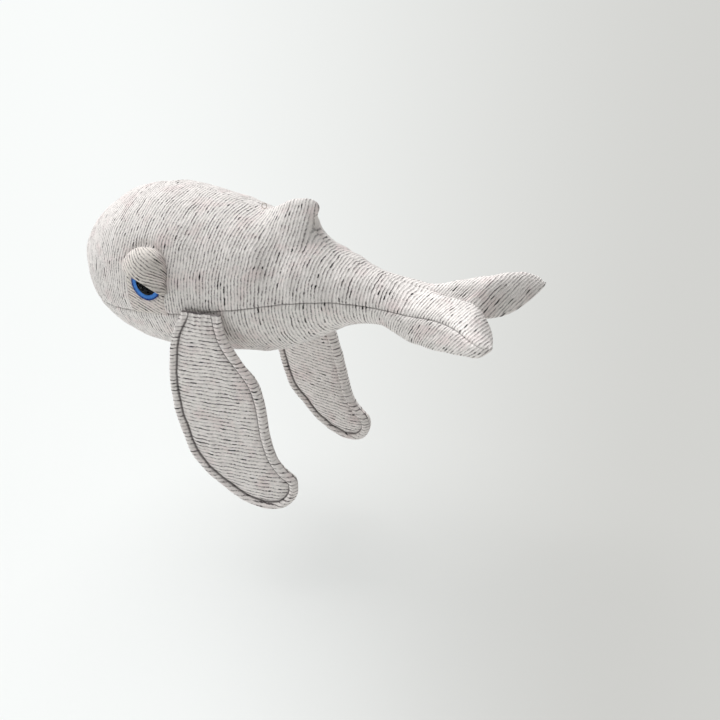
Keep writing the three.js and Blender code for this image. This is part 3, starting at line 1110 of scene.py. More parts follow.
    def flukes_shaped(self, points: Array, side: Side) -> Array:
        """The skin of one side with the flukes flattened and bent as they hang.

        Args:
            points: the plain skin, on the side of positive y.
            side: which side it is for.

        Returns:
            The new points.
        """
        rows, y = self.alongs()[:, None], points[..., 1]
        rise = self.over_seam(points)
        far = int(side is Side.RIGHT)
        fall = np.where(rise > 0, self.tail_fall[far], self.tail_lift[far])
        off_crown = 1 - bell(y, self.tail_crown_half)
        change = -fall * rise * smooth(*self.tail_along, rows) * off_crown
        out = np.minimum(y / np.maximum(y.max(1, keepdims=True), TINY), 1)
        change -= self.tail_droop * self.closing(rows) ** 2 * (1 - out**2)
        points = points.copy()
        if side is Side.RIGHT:
            share, place, half = self.far_shoulder
            change -= share * np.clip(rise, 0, None) * bell(rows - place, half) * off_crown
        points[..., 2] += change
        if side is Side.RIGHT:
            past = np.clip(y - self.far_tip_y, 0, None) * smooth(*self.far_tip_along, rows)
            points -= past[..., None] * self.far_tip_pull
        return points

    def outward(self, points: Array) -> Array:
        """Unit normals of the skin on the side of positive y, square to the plane of symmetry.

        Args:
            points: the skin.

        Returns:
            One normal for each point, out of the body.
        """
        wide = [points[:, 1:2] * FLIP_Y, points, points[:, -2:-1] * FLIP_Y]
        normal = grid_normals(np.concatenate(wide, axis=1))[:, 1:-1]
        flank = self.rows // 3, self.belly_columns + self.back_columns // 4
        if np.dot(normal[flank], points[flank]) < 0:
            normal = -normal
        normal[:, (0, -1), 1] = 0
        return normal

    def relief(self, points: Array, cloth: Array, reach: Array) -> Array:
        """Seams with their welts and gathers, lumps, folds, and the seats of the eye and its lid.

        Args:
            points: the skin, over the body's axis.
            cloth: its place on the cloth.
            reach: distance from the side seam, negative on the belly.

        Returns:
            How far each point moves out.
        """
        from_seam = np.abs(reach)
        from_crown = np.where(reach > 0, reach[:, -1:] - reach, 1.0)
        out = -self.seam_depth * tuck(from_seam, self.seam_width)
        out -= self.crown_depth * tuck(from_crown, self.crown_width)
        turn = cloth[..., 0] * (2 * np.pi / self.gather_pitch) + self.gather_drift.at(points)
        for distance in (from_seam, from_crown):
            out += self.welt_height * bell(distance - self.welt_place, self.welt_half)
            out += self.gather_height * np.cos(turn) * np.exp(-distance / self.gather_reach)
        end = self.nose_x + self.length + self.calm_past
        calm = smooth(*self.calm_x, end - points[..., 0])
        out += (self.coarse.at(points) + self.fine.at(points)) * calm
        out += self.folds(points, from_crown)
        near = 1 - smooth(*self.eye_seat, np.hypot(*from_spot(points, self.eye)))
        out = out * (1 - near) - self.eye_sink * near * (reach > 0)
        back, up = from_spot(points, self.lid)
        away = np.hypot(back, up)
        edge = self.lid_radius - self.lid_narrowing * np.clip(back / np.maximum(away, TINY), 0, 1)
        groove = bell(away - edge, self.lid_groove) * smooth(*self.lid_groove_z, up)
        return out - self.lid_groove * groove

    def folds(self, points: Array, from_crown: Array) -> Array:
        """Creases where the cloth is slack: at the dorsal fin's foot, the waist and the tail.

        Args:
            points: the skin, over the body's axis.
            from_crown: distance from the crown seam.

        Returns:
            How far each point moves out.
        """
        x, y, z = points[..., 0], points[..., 1], points[..., 2]
        turn = (x + self.ripple_lean * z) * (2 * np.pi / self.ripple_pitch)
        ripples = np.cos(turn + self.ripple_drift.at(points))
        ripples *= bell(x - self.ripple_x, self.ripple_half)
        ripples *= smooth(-self.ripple_side, self.ripple_side, np.abs(y) + z)
        foot_x, foot_z = self.crease_place
        crease = bell(z - foot_z - self.crease_slope * (x - foot_x), self.crease_half)
        crease *= smooth(*self.crease_start_x, x) * (1 - smooth(*self.crease_end_x, x))
        crease *= from_crown < self.crease_reach
        tail = bell(x + self.tail_crease_lean * z - self.tail_crease_x, self.tail_crease_half)
        tail *= smooth(*self.tail_crease_start_z, z) * (1 - smooth(*self.tail_crease_end_z, z))
        return self.ripple_height * ripples - self.crease_depth * (crease + tail)

    def skin(self, side: Side) -> tuple[Array, Array, Array]:
        """The finished skin of one side.

        Args:
            side: which side.

        Returns:
            Points, place on the cloth, and the distance from the side seam.
        """
        points, reach = self.plain_skin()
        points = self.flukes_shaped(points, side)
        mirror = np.array([1, side.sign, 1])
        points, normal = points * mirror, self.outward(points) * mirror
        alongs = (points[..., 0] - self.nose_x) / self.length
        points[..., 2] += self.twist * smooth(self.twist_from, 1, alongs) * points[..., 1]
        x = points[..., 0]
        slant = np.where(reach < 0, self.belly_slant * smooth(*self.belly_slant_x, x),
                         self.back_slant * smooth(*self.back_slant_x, x))
        along = self.cloth_along(x) - slant * self.over_seam(points)
        cloth = np.stack([along, reach + self.cloth_apart * (side is Side.RIGHT)], axis=-1)
        out = self.relief(points, cloth, reach)
        return points + normal * out[..., None] + [0, 0, self.axis_z], cloth, reach

    def belly_shape(self, halves: dict[Side, Sheet]) -> Sheet:
        """The belly panel, from the left side seam under the body to the right one.

        Args:
            halves: what skin gives for each side.

        Returns:
            Points, place on the cloth, and the distance from the side seam.
        """
        low = slice(None, self.belly_columns + 1)
        left, left_cloth, left_reach = (part[:, low] for part in halves[Side.LEFT])
        right, right_cloth, right_reach = (part[:, low] for part in halves[Side.RIGHT])
        high = np.linalg.norm(left[:, -1] - left[:, 0], axis=-1)
        start = int(np.argmax(high > self.belly_least)) - 1
        right_cloth = right_cloth.copy()
        right_cloth[..., 1] = 2 * left_cloth[:, :1, 1] - (right_cloth[..., 1] - self.cloth_apart)
        pairs = ((left, right), (left_cloth, right_cloth), (-left_reach, -right_reach))
        return tuple(np.concatenate([a[start:, ::-1], b[start:, 1:]], axis=1) for a, b in pairs)

    def build(self, jersey: Material, belly_jersey: Material) -> list[Object]:
        """Makes and dresses the three panels.

        Args:
            jersey: finish of the back.
            belly_jersey: finish of the belly.

        Returns:
            The pieces.
        """
        made, halves = [], {side: self.skin(side) for side in Side}
        for side, parts in halves.items():
            points, cloth, reach = (part[:, self.belly_columns:] for part in parts)
            name = f"{side.word}_back_cover"
            back = grid_piece(name, points, cloth, side is Side.LEFT, seam=reach)
            dress(merged(back), jersey)
            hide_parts(f"{side.word}_back_panel", f"{side.word}_tail_back_panel")
            made.append(back)
        points, cloth, below = self.belly_shape(halves)
        belly = grid_piece("belly_cover", points, cloth, seam=below)
        dress(merged(belly), belly_jersey)
        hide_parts("belly_panel", "tail_belly_panel", "body_filling", "tail_filling")
        made.append(belly)
        for piece in made:
            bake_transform(piece)
        return made


# Pectoral fins


class Panel(Enum):
    """A panel of a fin: its word, which way it faces, its lumps' seed, its place on the cloth."""

    OUTER = ("outer", 1, 31, 300 * MM)
    INNER = ("inner", -1, 41, 600 * MM)


@dataclass
class PectoralFin:
    """A fin of two panels with a stuffed roll round its edge and a stitched line inside that."""

    side: Side
    axis_z: float
    length: float = 159 * MM
    hinge: Triple = (-18.5 * MM, 64.238 * MM, -13.5 * MM)
    toe_in: float = 0.181995
    splay: float = math.radians(4.7)
    rows: int = 170
    columns: int = 132
    # how far rows and columns crowd towards the edges
    crowding: Span = (0.7, 0.6)
    # half thicknesses of roll, stitched line, pillow and root, and how fast each is reached
    roll_width: float = 7 * MM
    roll_half: float = 5.1 * MM
    roll_power: float = 0.6
    roll_edge_share: float = 0.22
    stitch_half: float = 1.5 * MM
    pillow_half: float = 4.6 * MM
    pillow_reach: float = 3.5 * MM
    root_half: float = 2.4 * MM
    root_cap: float = 0.9 * MM
    root_edge: float = 1.5 * MM
    root_span: Span = (0.0, 11 * MM)
    # the inner panel is thinner at the root, so that it clears the body
    inner_thinning: float = 0.5
    inner_reach: float = 30 * MM
    # gathers at the root, as a share of the thickness, and lumps further down, by size and height
    gather: float = 0.22
    gather_pitch: float = 5.2 * MM
    gather_reach: float = 9 * MM
    lumps_span: Span = (0.0, 20 * MM)
    coarse: Span = (34 * MM, 0.5 * MM)
    fine: Span = (12 * MM, 0.25 * MM)
    # the stitched line's painted shadow and thread, and where the cloth's rows start
    stitch_closeness: float = 0.8
    cloth_start: float = 50 * MM
    # how far the root's line is drawn on past the open root, over the length
    root_past: float = 0.1
    # span, then front and rear edge along the chord, over the length
    shares: Array = field(default_factory=lambda: np.array([
        [0, -0.11, 0.1],
        [0.1, -0.158, 0.125],
        [0.2, -0.18, 0.19],
        [0.3, -0.186, 0.275],
        [0.4, -0.183, 0.316],
        [0.5, -0.168, 0.338],
        [0.6, -0.141, 0.356],
        [0.7, -0.105, 0.388],
        [0.76, -0.075, 0.434],
        [0.8, -0.041, 0.49],
        [0.85, 0.0125, 0.506],
        [0.9, 0.078, 0.498],
        [0.95, 0.156, 0.464],
        [0.985, 0.238, 0.41],
        [1, 0.325, 0.325],
    ]))

    def edge_distance(self, flat: Array) -> Array:
        """Distance of points in the fin's plane from its edge, the root left open.

        Args:
            flat: points, chord and span in metres.

        Returns:
            One distance for each.
        """
        span = np.concatenate([[-self.root_past], (1 - np.cos(np.linspace(0, np.pi, 90))) / 2])
        row = row_at(self.shares, np.maximum(span, 0))
        front = np.stack([row[:, 1], span], axis=-1)
        rear = np.stack([row[:, 2], span], axis=-1)[::-1]
        line = self.length * np.concatenate([front, rear[1:]])
        a, b = line[:-1], line[1:]
        way = b - a
        points = flat.reshape(-1, 1, 2)
        t = np.clip(((points - a) * way).sum(-1) / np.maximum((way * way).sum(-1), TINY**2), 0, 1)
        gap = np.linalg.norm(points - (a + t[..., None] * way), axis=-1).min(axis=1)
        return gap.reshape(flat.shape[:-1])

    def half_thickness(self, flat: Array) -> Array:
        """The fin's half thickness at points in its plane.

        Args:
            flat: points, chord and span in metres.

        Returns:
            Metres.
        """
        chord, span = flat[..., 0], flat[..., 1]
        d = self.edge_distance(flat)
        bulge = np.sin(np.pi * np.clip(d / self.roll_width, 0, 1)) ** self.roll_power
        roll = self.stitch_half + (self.roll_half - self.stitch_half) * bulge
        roll = roll * np.sqrt(np.clip(d / (self.roll_edge_share * self.roll_width), 0, 1))
        bulge = 1 - np.exp(-np.clip(d - self.roll_width, 0, 1) / self.pillow_reach)
        pillow = self.stitch_half + (self.pillow_half - self.stitch_half) * bulge
        half = np.where(d < self.roll_width, roll, pillow)
        root = self.root_half * np.sqrt(np.clip(d / self.root_edge, 0, 1))
        half = root + (half - root) * smooth(*self.root_span, span)
        top = np.sqrt(np.clip(1 - (np.minimum(span, 0) / self.root_cap) ** 2, 0, 1))
        gather = self.gather * np.cos(chord * (2 * np.pi / self.gather_pitch))
        return half * top * (1 + gather * np.exp(-np.maximum(span, 0) / self.gather_reach))

    def placed(self, blade: Array) -> Array:
        """Points of the fin's own frame put in place on the whale.

        Args:
            blade: along the chord, out of the whale, and down the span.

        Returns:
            Points in the part's frame.
        """
        chord, out, down = blade[..., 0], blade[..., 1], blade[..., 2]
        y = out * math.cos(self.splay) + down * math.sin(self.splay)
        z = out * math.sin(self.splay) - down * math.cos(self.splay)
        x = self.hinge[0] + chord * math.cos(self.toe_in) + y * math.sin(self.toe_in)
        side = self.hinge[1] + y * math.cos(self.toe_in) - chord * math.sin(self.toe_in)
        return np.stack([x, self.side.sign * side, self.hinge[2] + self.axis_z + z], axis=-1)

    def panel_shape(self, panel: Panel) -> tuple[Array, Array, Array]:
        """One of the fin's two panels.

        Args:
            panel: which one.

        Returns:
            The points, their place on the cloth, and the distance from the stitched line.
        """
        _, outward, seed, cloth_place = panel.value
        top = -self.root_cap / self.length
        down = top + (1 - top) * crowded(self.rows, self.crowding[0])
        row = row_at(self.shares, np.maximum(down, 0))
        share = crowded(self.columns, self.crowding[1])
        chord = self.length * (row[:, 1:2] + (row[:, 2:3] - row[:, 1:2]) * share)
        span = np.broadcast_to(self.length * down[:, None], chord.shape)
        flat = np.stack([chord, span], axis=-1)
        half = self.half_thickness(flat)
        if panel is Panel.INNER:
            half = half * (1 - self.inner_thinning * bell(np.maximum(span, 0), self.inner_reach))
        where = np.stack([chord, 0 * chord, span], axis=-1)
        soft = Lumps(*self.coarse, seed).at(where) + Lumps(*self.fine, seed + 1).at(where)
        half = half + soft * smooth(0, self.stitch_half, half) * smooth(*self.lumps_span, span)
        blade = np.stack([chord, outward * half, span], axis=-1)
        cloth = np.stack([span + self.cloth_start, chord + cloth_place], axis=-1)
        # distance from the stitched line, where painted shadow and thread darken the cloth
        stitched = self.stitch_closeness * np.abs(self.edge_distance(flat) - self.roll_width)
        return self.placed(blade), cloth, np.minimum(stitched, span + self.root_cap)

    def build(self, jersey: Material) -> list[Object]:
        """Makes and dresses both panels.

        Args:
            jersey: their finish.

        Returns:
            The pieces.
        """
        word = self.side.word
        pieces = []
        for panel in Panel:
            points, cloth, stitched = self.panel_shape(panel)
            flip = (panel is Panel.INNER) == (self.side is Side.LEFT)
            name = f"{word}_fin_{panel.value[0]}_cover"
            pieces.append(merged(grid_piece(name, points, cloth, flip, seam=stitched)))
        outer, inner = pieces
        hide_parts(f"{word}_fin_outer_panel", f"{word}_fin_padding",
                    f"{word}_fin_rim_filling")
        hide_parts(f"{word}_fin_inner_panel")
        for piece in (outer, inner):
            dress(piece, jersey)
            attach(piece, f"{word}_fin")
        return [outer, inner]


# Eyes and lids


@dataclass
class Eye:
    """A clear domed eye with its iris and pupil, a stuffed lid over it and a patch below."""

    side: Side
    body: BodyCover
    centre_x: float = -68 * MM
    centre_z: float = 5 * MM
    seat: float = 67.7837 * MM
    # heights are measured out of the seat
    disc_sides: int = 72
    lens_rings: int = 26
    lens_radius: float = 14 * MM
    lens_low: float = 1.6 * MM
    lens_rim: float = 1 * MM
    lens_height: float = 6.5 * MM
    pupil_radius: float = 9.7 * MM
    pupil_gap: float = 0.3 * MM
    # the pupil's dome over the iris, from its rim to its middle: share of the radius, and rise
    pupil_dome: tuple[Span, ...] = ((1, 0.02 * MM), (0.5, 0.04 * MM), (0, 0.05 * MM))
    iris_low: float = 0.5 * MM
    iris_thickness: float = 0.8 * MM
    iris_rings: tuple[float, ...] = (0.1, 0.3, 0.5, 0.7, 0.9, 1)
    # the upper lid, a dome cut off by the plane of its underside
    lid_radius: float = 20 * MM
    lid_height: float = 17 * MM
    lid_above_edge: float = 10.2 * MM
    lid_slope: float = math.radians(23)
    lid_tilt: float = math.radians(32)
    lid_end: float = math.radians(128)
    lid_edge_below: float = 1 * MM
    lid_behind: float = -2.2 * MM
    lid_arcs: int = 72
    lid_columns: int = 72
    lid_crowding: Span = (0.4, 0.3)
    # its underside, down to this share of the edge's reach, and to this one along it
    under_rows: int = 15
    under_shares: Span = (0.3, 0.75)
    # its rear is drawn in, its rear corner out and its front corner in: by how much, from where to
    # where along it, and, at the rear, from where to where over its edge
    rear_pull: float = -3.4 * MM
    rear_along: Span = (4 * MM, 16 * MM)
    rear_up: Span = (3 * MM, 12 * MM)
    corner_pull: float = 2.3 * MM
    corner_along: Span = (10 * MM, 18 * MM)
    corner_up: Span = (2 * MM, 9 * MM)
    front_pull: float = -1.1 * MM
    front_along: Span = (8 * MM, 18 * MM)
    # its edge sags in the middle
    sag: float = 1.2 * MM
    sag_half: float = 19 * MM
    sag_reach: float = 7 * MM
    lid_lumps: Lumps = Lumps(20 * MM, 0.3 * MM, 51)
    lid_lumps_out: Span = (0.0, 4 * MM)
    # the slant of its stripes, and where its cloth and the patch's lie on the flat cloth
    lid_slant: float = 0.22
    lid_cloth: float = 900 * MM
    patch_cloth: float = 300 * MM
    # the lower lid
    patch_front: float = -88.5 * MM
    patch_rear: float = -53.5 * MM
    patch_rows: int = 46
    patch_columns: int = 40
    patch_crowding: float = 0.8
    patch_over: float = 1.1 * MM
    patch_tuck: float = 1.7 * MM
    patch_tuck_width: float = 2.2 * MM
    patch_sink: float = 1.6 * MM
    patch_sink_edge: Span = (12 * MM, 16.5 * MM)
    patch_lumps: Lumps = Lumps(16 * MM, 0.25 * MM, 61)
    # distances from a sewn line: one out of its painted shadow, and one in the middle of its edge
    unsewn: float = 10 * MM
    sewn: float = 0.4 * MM

    def placed(self, local: Array) -> Array:
        """Points of the eye's own frame put in place.

        Args:
            local: back along the body, up, and out of the head.

        Returns:
            Points in the part's frame.
        """
        x = self.centre_x + local[..., 0]
        y = self.side.sign * (self.seat + local[..., 2])
        return np.stack([x, y, self.centre_z + self.body.axis_z + local[..., 1]], axis=-1)

    def disc(self, name: str, profile: Profile, material: Material) -> Object:
        """A turned piece of the eye.

        Args:
            name: its name.
            profile: radius and height out of the seat.
            material: its finish.

        Returns:
            The piece.
        """
        turn = np.linspace(0, 1, self.disc_sides + 1)
        radius, height = np.array(profile, float).T[..., None]
        angle = 2 * np.pi * turn
        points = [radius * np.cos(angle), radius * np.sin(angle), height + 0 * turn]
        points = np.stack(points, axis=-1)
        cloth = np.stack([turn + 0 * radius, radius + 0 * turn], axis=-1)
        made = merged(grid_piece(name, self.placed(points), cloth, self.side is Side.LEFT))
        dress(made, material)
        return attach(made, "torso")

    def eyeball(self, finishes: dict[str, Material]) -> list[Object]:
        """Lens, iris and pupil.

        Args:
            finishes: the materials by slot.

        Returns:
            The pieces.
        """
        word = self.side.word
        dome = (self.lens_radius**2 + self.lens_height**2) / (2 * self.lens_height)
        turn = np.linspace(math.asin(self.lens_radius / dome), 0, self.lens_rings)
        top = self.lens_low + self.lens_rim + self.lens_height
        profile = [(self.lens_radius, self.lens_low)]
        profile += [(dome * math.sin(t), top - dome * (1 - math.cos(t))) for t in turn]
        lens = self.disc(f"{word}_lens", profile, finishes["lens"])
        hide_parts(f"{word}_eye_lens")
        low, high = self.iris_low, self.iris_low + self.iris_thickness
        inner = self.pupil_radius + self.pupil_gap
        ring = [(inner, low), (inner, high)]
        ring += [(inner + (self.lens_radius - inner) * t, high) for t in self.iris_rings]
        ring += [(self.lens_radius, low), (inner, low)]
        iris = self.disc(f"{word}_iris", ring, finishes["iris"])
        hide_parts(f"{word}_eye_iris")
        plate = [(0.0, low), (self.pupil_radius, low)]
        plate += [(self.pupil_radius * share, high + rise) for share, rise in self.pupil_dome]
        pupil = self.disc(f"{word}_pupil", plate, finishes["pupil"])
        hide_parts(f"{word}_eye_pupil")
        return [lens, iris, pupil]

    def dome_arc(self, tilt: float) -> Array:
        """One arc of the upper lid's dome, from corner to corner, in a plane through its edge.

        Args:
            tilt: the plane's angle from the one that points out of the head.

        Returns:
            Points along the edge, up and out, measured from the edge's middle.
        """
        sin, cos = math.sin(tilt), math.cos(tilt)
        a = (sin / self.lid_radius) ** 2 + (cos / self.lid_height) ** 2
        b = self.lid_above_edge * sin / self.lid_radius**2
        rest = 1 - (self.lid_above_edge / self.lid_radius) ** 2 + b * b / a
        long, deep, off = self.lid_radius * math.sqrt(rest), math.sqrt(rest / a), b / a
        start = -math.asin(min(off / deep, 1))
        angle = start + (np.pi - 2 * start) * crowded(self.lid_columns, self.lid_crowding[1])
        reach = off + deep * np.sin(angle)
        return np.stack([-long * np.cos(angle), reach * sin, reach * cos], axis=-1)

    def upper_lid_shape(self) -> tuple[Array, Array]:
        """The stuffed upper lid: arcs from corner to corner of the eye, underside first.

        Returns:
            The points and their place on the cloth.
        """
        tilts = crowded(self.lid_arcs, self.lid_crowding[0])
        tilts = self.lid_tilt + (self.lid_end - self.lid_tilt) * tilts
        outer = np.array([self.dome_arc(tilt) for tilt in tilts])
        reach, width = self.under_shares
        shrink = np.linspace(reach, 1, self.under_rows + 1)[:-1, None]
        under = outer[0] * shrink[..., None]
        under[..., 0] = outer[0][:, 0] * (width + (1 - width) * shrink)
        grid = smoothed(np.concatenate([under, outer]), 2)
        along, up, out = grid[..., 0], grid[..., 1], grid[..., 2]
        pull = self.rear_pull * smooth(*self.rear_along, along) * smooth(*self.rear_up, up)
        corner = smooth(*self.corner_along, along) * (1 - smooth(*self.corner_up, up))
        pull += self.corner_pull * corner
        pull += self.front_pull * smooth(*self.front_along, -along)
        sag = self.sag * np.clip(1 - (along / self.sag_half) ** 2, 0, 1)
        sag = sag * np.exp(-np.abs(up) / self.sag_reach)
        along, up = along + pull, up - sag - self.lid_edge_below
        c, s = math.cos(self.lid_slope), math.sin(self.lid_slope)
        local = [self.lid_behind + along * c + up * s, -along * s + up * c, out]
        local = np.stack(local, axis=-1)
        steps = np.linalg.norm(np.diff(grid, axis=0), axis=-1)
        arc = np.concatenate([np.zeros((1, grid.shape[1])), np.cumsum(steps, axis=0)])
        cloth = np.stack([arc + self.lid_slant * along, along + self.lid_cloth], axis=-1)
        local[..., 2] += self.lid_lumps.at(local) * smooth(*self.lid_lumps_out, out)
        return self.placed(local), cloth

    def upper_lid(self, jersey: Material) -> Object:
        """Makes and dresses the upper lid.

        Args:
            jersey: its finish.

        Returns:
            The piece.
        """
        points, cloth = self.upper_lid_shape()
        seam = np.full(points.shape[:2], self.unsewn)
        made = grid_piece(f"{self.side.word}_upper_lid", points, cloth,
                          self.side is Side.RIGHT, seam=seam)
        merged(made)
        dress(made, jersey)
        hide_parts(f"{self.side.word}_upper_eyelid",
                    f"{self.side.word}_upper_eyelid_filling")
        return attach(made, "torso")

    def lower_lid_shape(self) -> tuple[Array, Array]:
        """The lower lid: a patch let into the flank between the eye and the side seam.

        Returns:
            The points and their place on the cloth.
        """
        share = crowded(self.patch_columns, self.patch_crowding)
        x = self.patch_front + (self.patch_rear - self.patch_front) * share
        seam = self.body.section((x - self.body.nose_x) / self.body.length)["seam"]
        edge = self.centre_z - math.tan(self.lid_slope) * (x - self.centre_x)
        share = crowded(self.patch_rows, self.patch_crowding)[:, None]
        z = edge + (seam - edge) * share
        wide = np.broadcast_to(x, z.shape)
        skin = np.stack([wide, self.body.flank(wide, z), z], axis=-1)
        normal = grid_normals(skin)
        normal *= np.sign(normal[..., 1:2])
        from_edge = np.minimum.reduce([
            wide - x[0], x[-1] - wide, (edge - seam) * share, (edge - seam) * (1 - share)])
        out = self.patch_over - self.patch_tuck * tuck(from_edge, self.patch_tuck_width)
        eye = np.hypot(wide - self.centre_x, z - self.centre_z)
        out -= self.patch_sink * (1 - smooth(*self.patch_sink_edge, eye))
        out += self.patch_lumps.at(skin)
        skin = skin + normal * out[..., None]
        points = skin * [1, self.side.sign, 1] + [0, 0, self.body.axis_z]
        c, s = math.cos(self.lid_slope), math.sin(self.lid_slope)
        cloth = np.stack([z * c + wide * s, wide * c - z * s], axis=-1) + self.patch_cloth
        return points, cloth

    def lower_lid(self, jersey: Material) -> Object:
        """Makes and dresses the lower lid.

        Args:
            jersey: its finish.

        Returns:
            The piece.
        """
        points, cloth = self.lower_lid_shape()
        seam = np.full(points.shape[:2], self.unsewn)
        # the patch's edges get the painted shadow and thread of a sewn line
        seam[:, (0, 1, -2, -1)] = self.sewn
        made = grid_piece(f"{self.side.word}_lower_lid", points, cloth,
                          self.side is Side.RIGHT, seam=seam)
        dress(made, jersey)
        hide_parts(f"{self.side.word}_lower_eyelid")
        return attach(made, "torso")

    def build(self, finishes: dict[str, Material]) -> list[Object]:
        """Makes and dresses the eye and its lids.

        Args:
            finishes: the materials by slot.

        Returns:
            The pieces.
        """
        made = self.eyeball(finishes)
        made.append(self.upper_lid(finishes["lid_jersey"]))
        made.append(self.lower_lid(finishes["lid_jersey"]))
        return made


@dataclass
class HangLoop:
    """The sewn thread loop on the crown, under the part's origin."""

    radius: float = 2.2 * MM
    thread: float = 0.35 * MM
    steps: int = 48
    sides: int = 10
    # how far it winds out of its plane, and how wide its UV map is
    waver: float = 0.25 * MM
    cloth_width: float = 2 * MM

    def build(self, thread: Material) -> list[Object]:
        """Makes and dresses the loop.

        Args:
            thread: its finish.

        Returns:
            The piece.
        """
        angle = np.linspace(0, 2 * np.pi, self.steps + 1)
        middle = -self.radius - self.thread
        path = np.stack([self.radius * np.cos(angle), self.waver * np.sin(3 * angle),
                         middle + self.radius * np.sin(angle)], axis=-1)
        points = tube(path, self.thread, self.sides)
        around = np.linspace(0, self.cloth_width, self.sides)
        cloth = np.stack(np.broadcast_arrays((angle * self.radius)[:, None], around), axis=-1)
        loop = grid_piece("thread_loop", points, cloth, closed=True)
        dress(loop, thread)
        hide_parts("hang_loop")
        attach(loop, "torso")
        return [loop]


@dataclass
class HiddenParts:
    """The CAD nodes that stay as they are inside the head: eye posts and washers."""

    names: tuple[str, ...] = ("eye_post", "eye_washer")

    def build(self, plastic: Material) -> list[Object]:
        """Gives them their finish.

        Args:
            plastic: the finish.

        Returns:
            The nodes' objects.
        """
        made = [bpy.data.objects[f"{side.word}_{name}"] for side in Side for name in self.names]
        for node in made:
            for place in node.material_slots:
                place.material = plastic
        return made


# Studio


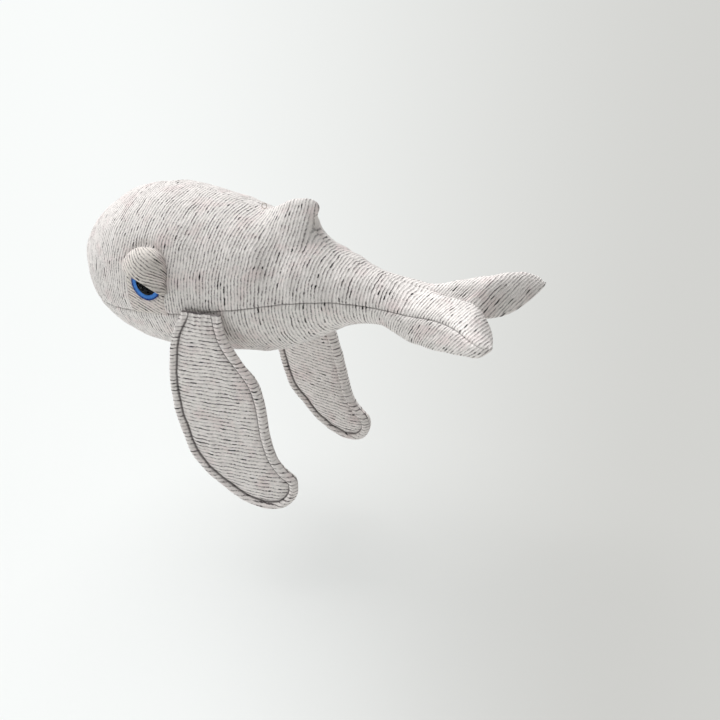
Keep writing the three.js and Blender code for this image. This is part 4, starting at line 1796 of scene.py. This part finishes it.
@dataclass
class Studio:
    """Floor, background, lamp and the camera at the photograph's angle."""

    target: Triple = (86 * MM, 0.0, -117.575 * MM)
    back: Triple = (0.4359, -0.8028, 0.4067)
    distance: float = 0.72
    lens: float = 45.0
    sensor: float = 36.0
    clip: Span = (0.01, 100.0)
    # the floor's tints, painted light on the left and painted shade on the right as the camera sees
    # it, where a fan
    # of rays from this place spreads them: its place along the floor's right, and its distance
    floor_z: float = -0.31
    floor_half: float = 60.0
    floor_lit: Screen = (235, 237, 236)
    floor_shaded: Screen = (199, 199, 196)
    floor_speck: Screen = (180, 180, 178)
    floor_right: Span = (0.8788, 0.4772)
    fan_place: Span = (0.0756, 0.70)
    fan_least: float = 0.2
    fan_read: Span = (-0.32, 0.42)
    speck: Triple = (300.0, 2.0, 0.5)
    speck_share: float = 0.02
    floor_finish: Span = (0.95, 0.1)  # roughness and gloss
    # how much of its colour it shows whatever the light
    floor_glow: float = 0.7
    # the window's light: its way in the photograph's up, right and back, its strength and softness
    key_way: Triple = (0.84, -0.38, -0.05)
    key_strength: float = 4.35
    key_softness: float = math.radians(72)
    world_tint: Screen = (243, 245, 244)
    world_strength: float = 0.4

    def floor(self) -> Object:
        """The plain pale floor, with painted shade making it a little darker towards the right.

        Returns:
            The floor.
        """
        ends = (-self.floor_half, self.floor_half)
        points = np.array([[[x, y, self.floor_z] for y in ends] for x in ends])
        made = grid_piece("floor", points, points[..., :2])
        r = Recipe("floor_paper")
        place = r.place()
        x, y, _ = r.node("SeparateXYZ", None, Vector=place).outputs
        cos, sin = self.floor_right
        right = r.math("ADD", r.math("MULTIPLY", x, cos), r.math("MULTIPLY", y, sin))
        away = r.math("ADD", r.math("MULTIPLY", x, -sin), r.math("MULTIPLY", y, cos))
        right = r.math("SUBTRACT", right, self.fan_place[0])
        away = r.math("MAXIMUM", r.math("ADD", away, self.fan_place[1]), self.fan_least)
        # painted light on the left fading to painted shade on the right
        share = r.ramp(r.math("DIVIDE", right, away), self.fan_read)
        tint = r.mixed(share, colour(*self.floor_lit), colour(*self.floor_shaded))
        speck = r.math("MULTIPLY", r.noise(place, *self.speck), self.speck_share)
        tint = r.mixed(speck, tint, colour(*self.floor_speck))
        roughness, gloss = self.floor_finish
        paper = r.surface(tint, roughness, Specular_IOR_Level=gloss)
        glow = r.node("Emission", None, Color=tint, Strength=1.0)
        seen = r.math("MULTIPLY", r.node("LightPath").outputs["Is Camera Ray"], self.floor_glow)
        shown = r.node("MixShader", None, Fac=seen, i1=paper.outputs[0], i2=glow.outputs[0])
        made.data.materials.append(r.finish(shown))
        return made

    def lamp(self, name: str, way: Vector) -> Object:
        """A far soft lamp.

        Args:
            name: its name.
            way: where its light comes from, seen from the whale.

        Returns:
            The lamp.
        """
        data = bpy.data.lights.new(name, "SUN")
        data.energy, data.angle = self.key_strength, self.key_softness
        made = bpy.data.objects.new(name, data)
        made.rotation_euler = way.to_track_quat("Z", "Y").to_euler()
        bpy.context.scene.collection.objects.link(made)
        return made

    def world(self) -> None:
        """Sets up the even light from all round."""
        world = bpy.data.worlds.new("studio")
        world.use_nodes = True
        shade = world.node_tree.nodes["Background"]
        shade.inputs["Color"].default_value = colour(*self.world_tint)
        shade.inputs["Strength"].default_value = self.world_strength
        bpy.context.scene.world = world

    def camera(self, back: Vector) -> None:
        """Sets up the camera.

        Args:
            back: the way from the target to it.
        """
        data = bpy.data.cameras.new("camera")
        data.lens, data.sensor_width = self.lens, self.sensor
        data.clip_start, data.clip_end = self.clip
        camera = bpy.data.objects.new("camera", data)
        camera.location = Vector(self.target) + back * self.distance
        camera.rotation_euler = back.to_track_quat("Z", "Y").to_euler()
        bpy.context.scene.collection.objects.link(camera)
        bpy.context.scene.camera = camera

    def build(self) -> None:
        """Sets up the stage, the lamp, the world, the camera and the view."""
        back = Vector(self.back)
        right = Vector((-back.y, back.x, 0)).normalized()
        upwards, rightwards, backwards = self.key_way
        self.floor()
        self.lamp("window", back.cross(right) * upwards + right * rightwards + back * backwards)
        self.world()
        self.camera(back)
        bpy.context.scene.view_settings.view_transform = "Standard"


def finishes_by_slot() -> dict[str, Material]:
    """Makes every finish once.

    Returns:
        The materials by the record's slots.
    """
    fin = Jersey("fin_jersey", pitch=3.0, ground=(243, 237, 234), line=(112, 104, 104),
                 seam_shade_and_thread=0.8)
    iris = PaintedPlastic("eye_blue", (74, 130, 206), (28, 48, 120), (11.8 * MM, 13.9 * MM), 0.2)
    return {
        "back_jersey": Jersey("back_jersey").material(),
        "belly_jersey": Jersey("belly_jersey", ground=(237, 232, 229)).material(),
        "fin_jersey": fin.material(),
        "lid_jersey": Jersey("lid_jersey", ground=(224, 217, 210), line=(108, 102, 101)).material(),
        "lens": ClearPlastic("eye_clear").material(),
        "iris": iris.material(),
        "pupil": PaintedPlastic("eye_black", (6, 7, 9), (9, 10, 13), roughness=0.25).material(),
        "eye_plastic": DullPlastic("eye_backing").material(),
        "thread": SewingThread("thread_grey").material(),
    }


def main() -> None:
    """Builds every class in order and reports the pieces."""
    logging.basicConfig(level=logging.INFO, format="%(name)s: %(message)s")
    finishes = finishes_by_slot()
    Studio().build()
    body = BodyCover()
    made = body.build(finishes["back_jersey"], finishes["belly_jersey"])
    for side in Side:
        made += PectoralFin(side, body.axis_z).build(finishes["fin_jersey"])
        made += Eye(side, body).build(finishes)
    made += HangLoop().build(finishes["thread"])
    made += HiddenParts().build(finishes["eye_plastic"])
    for piece in made:
        LOG.info("%s: %d points", piece.name, len(piece.data.vertices))


if __name__ == "__main__":
    main()
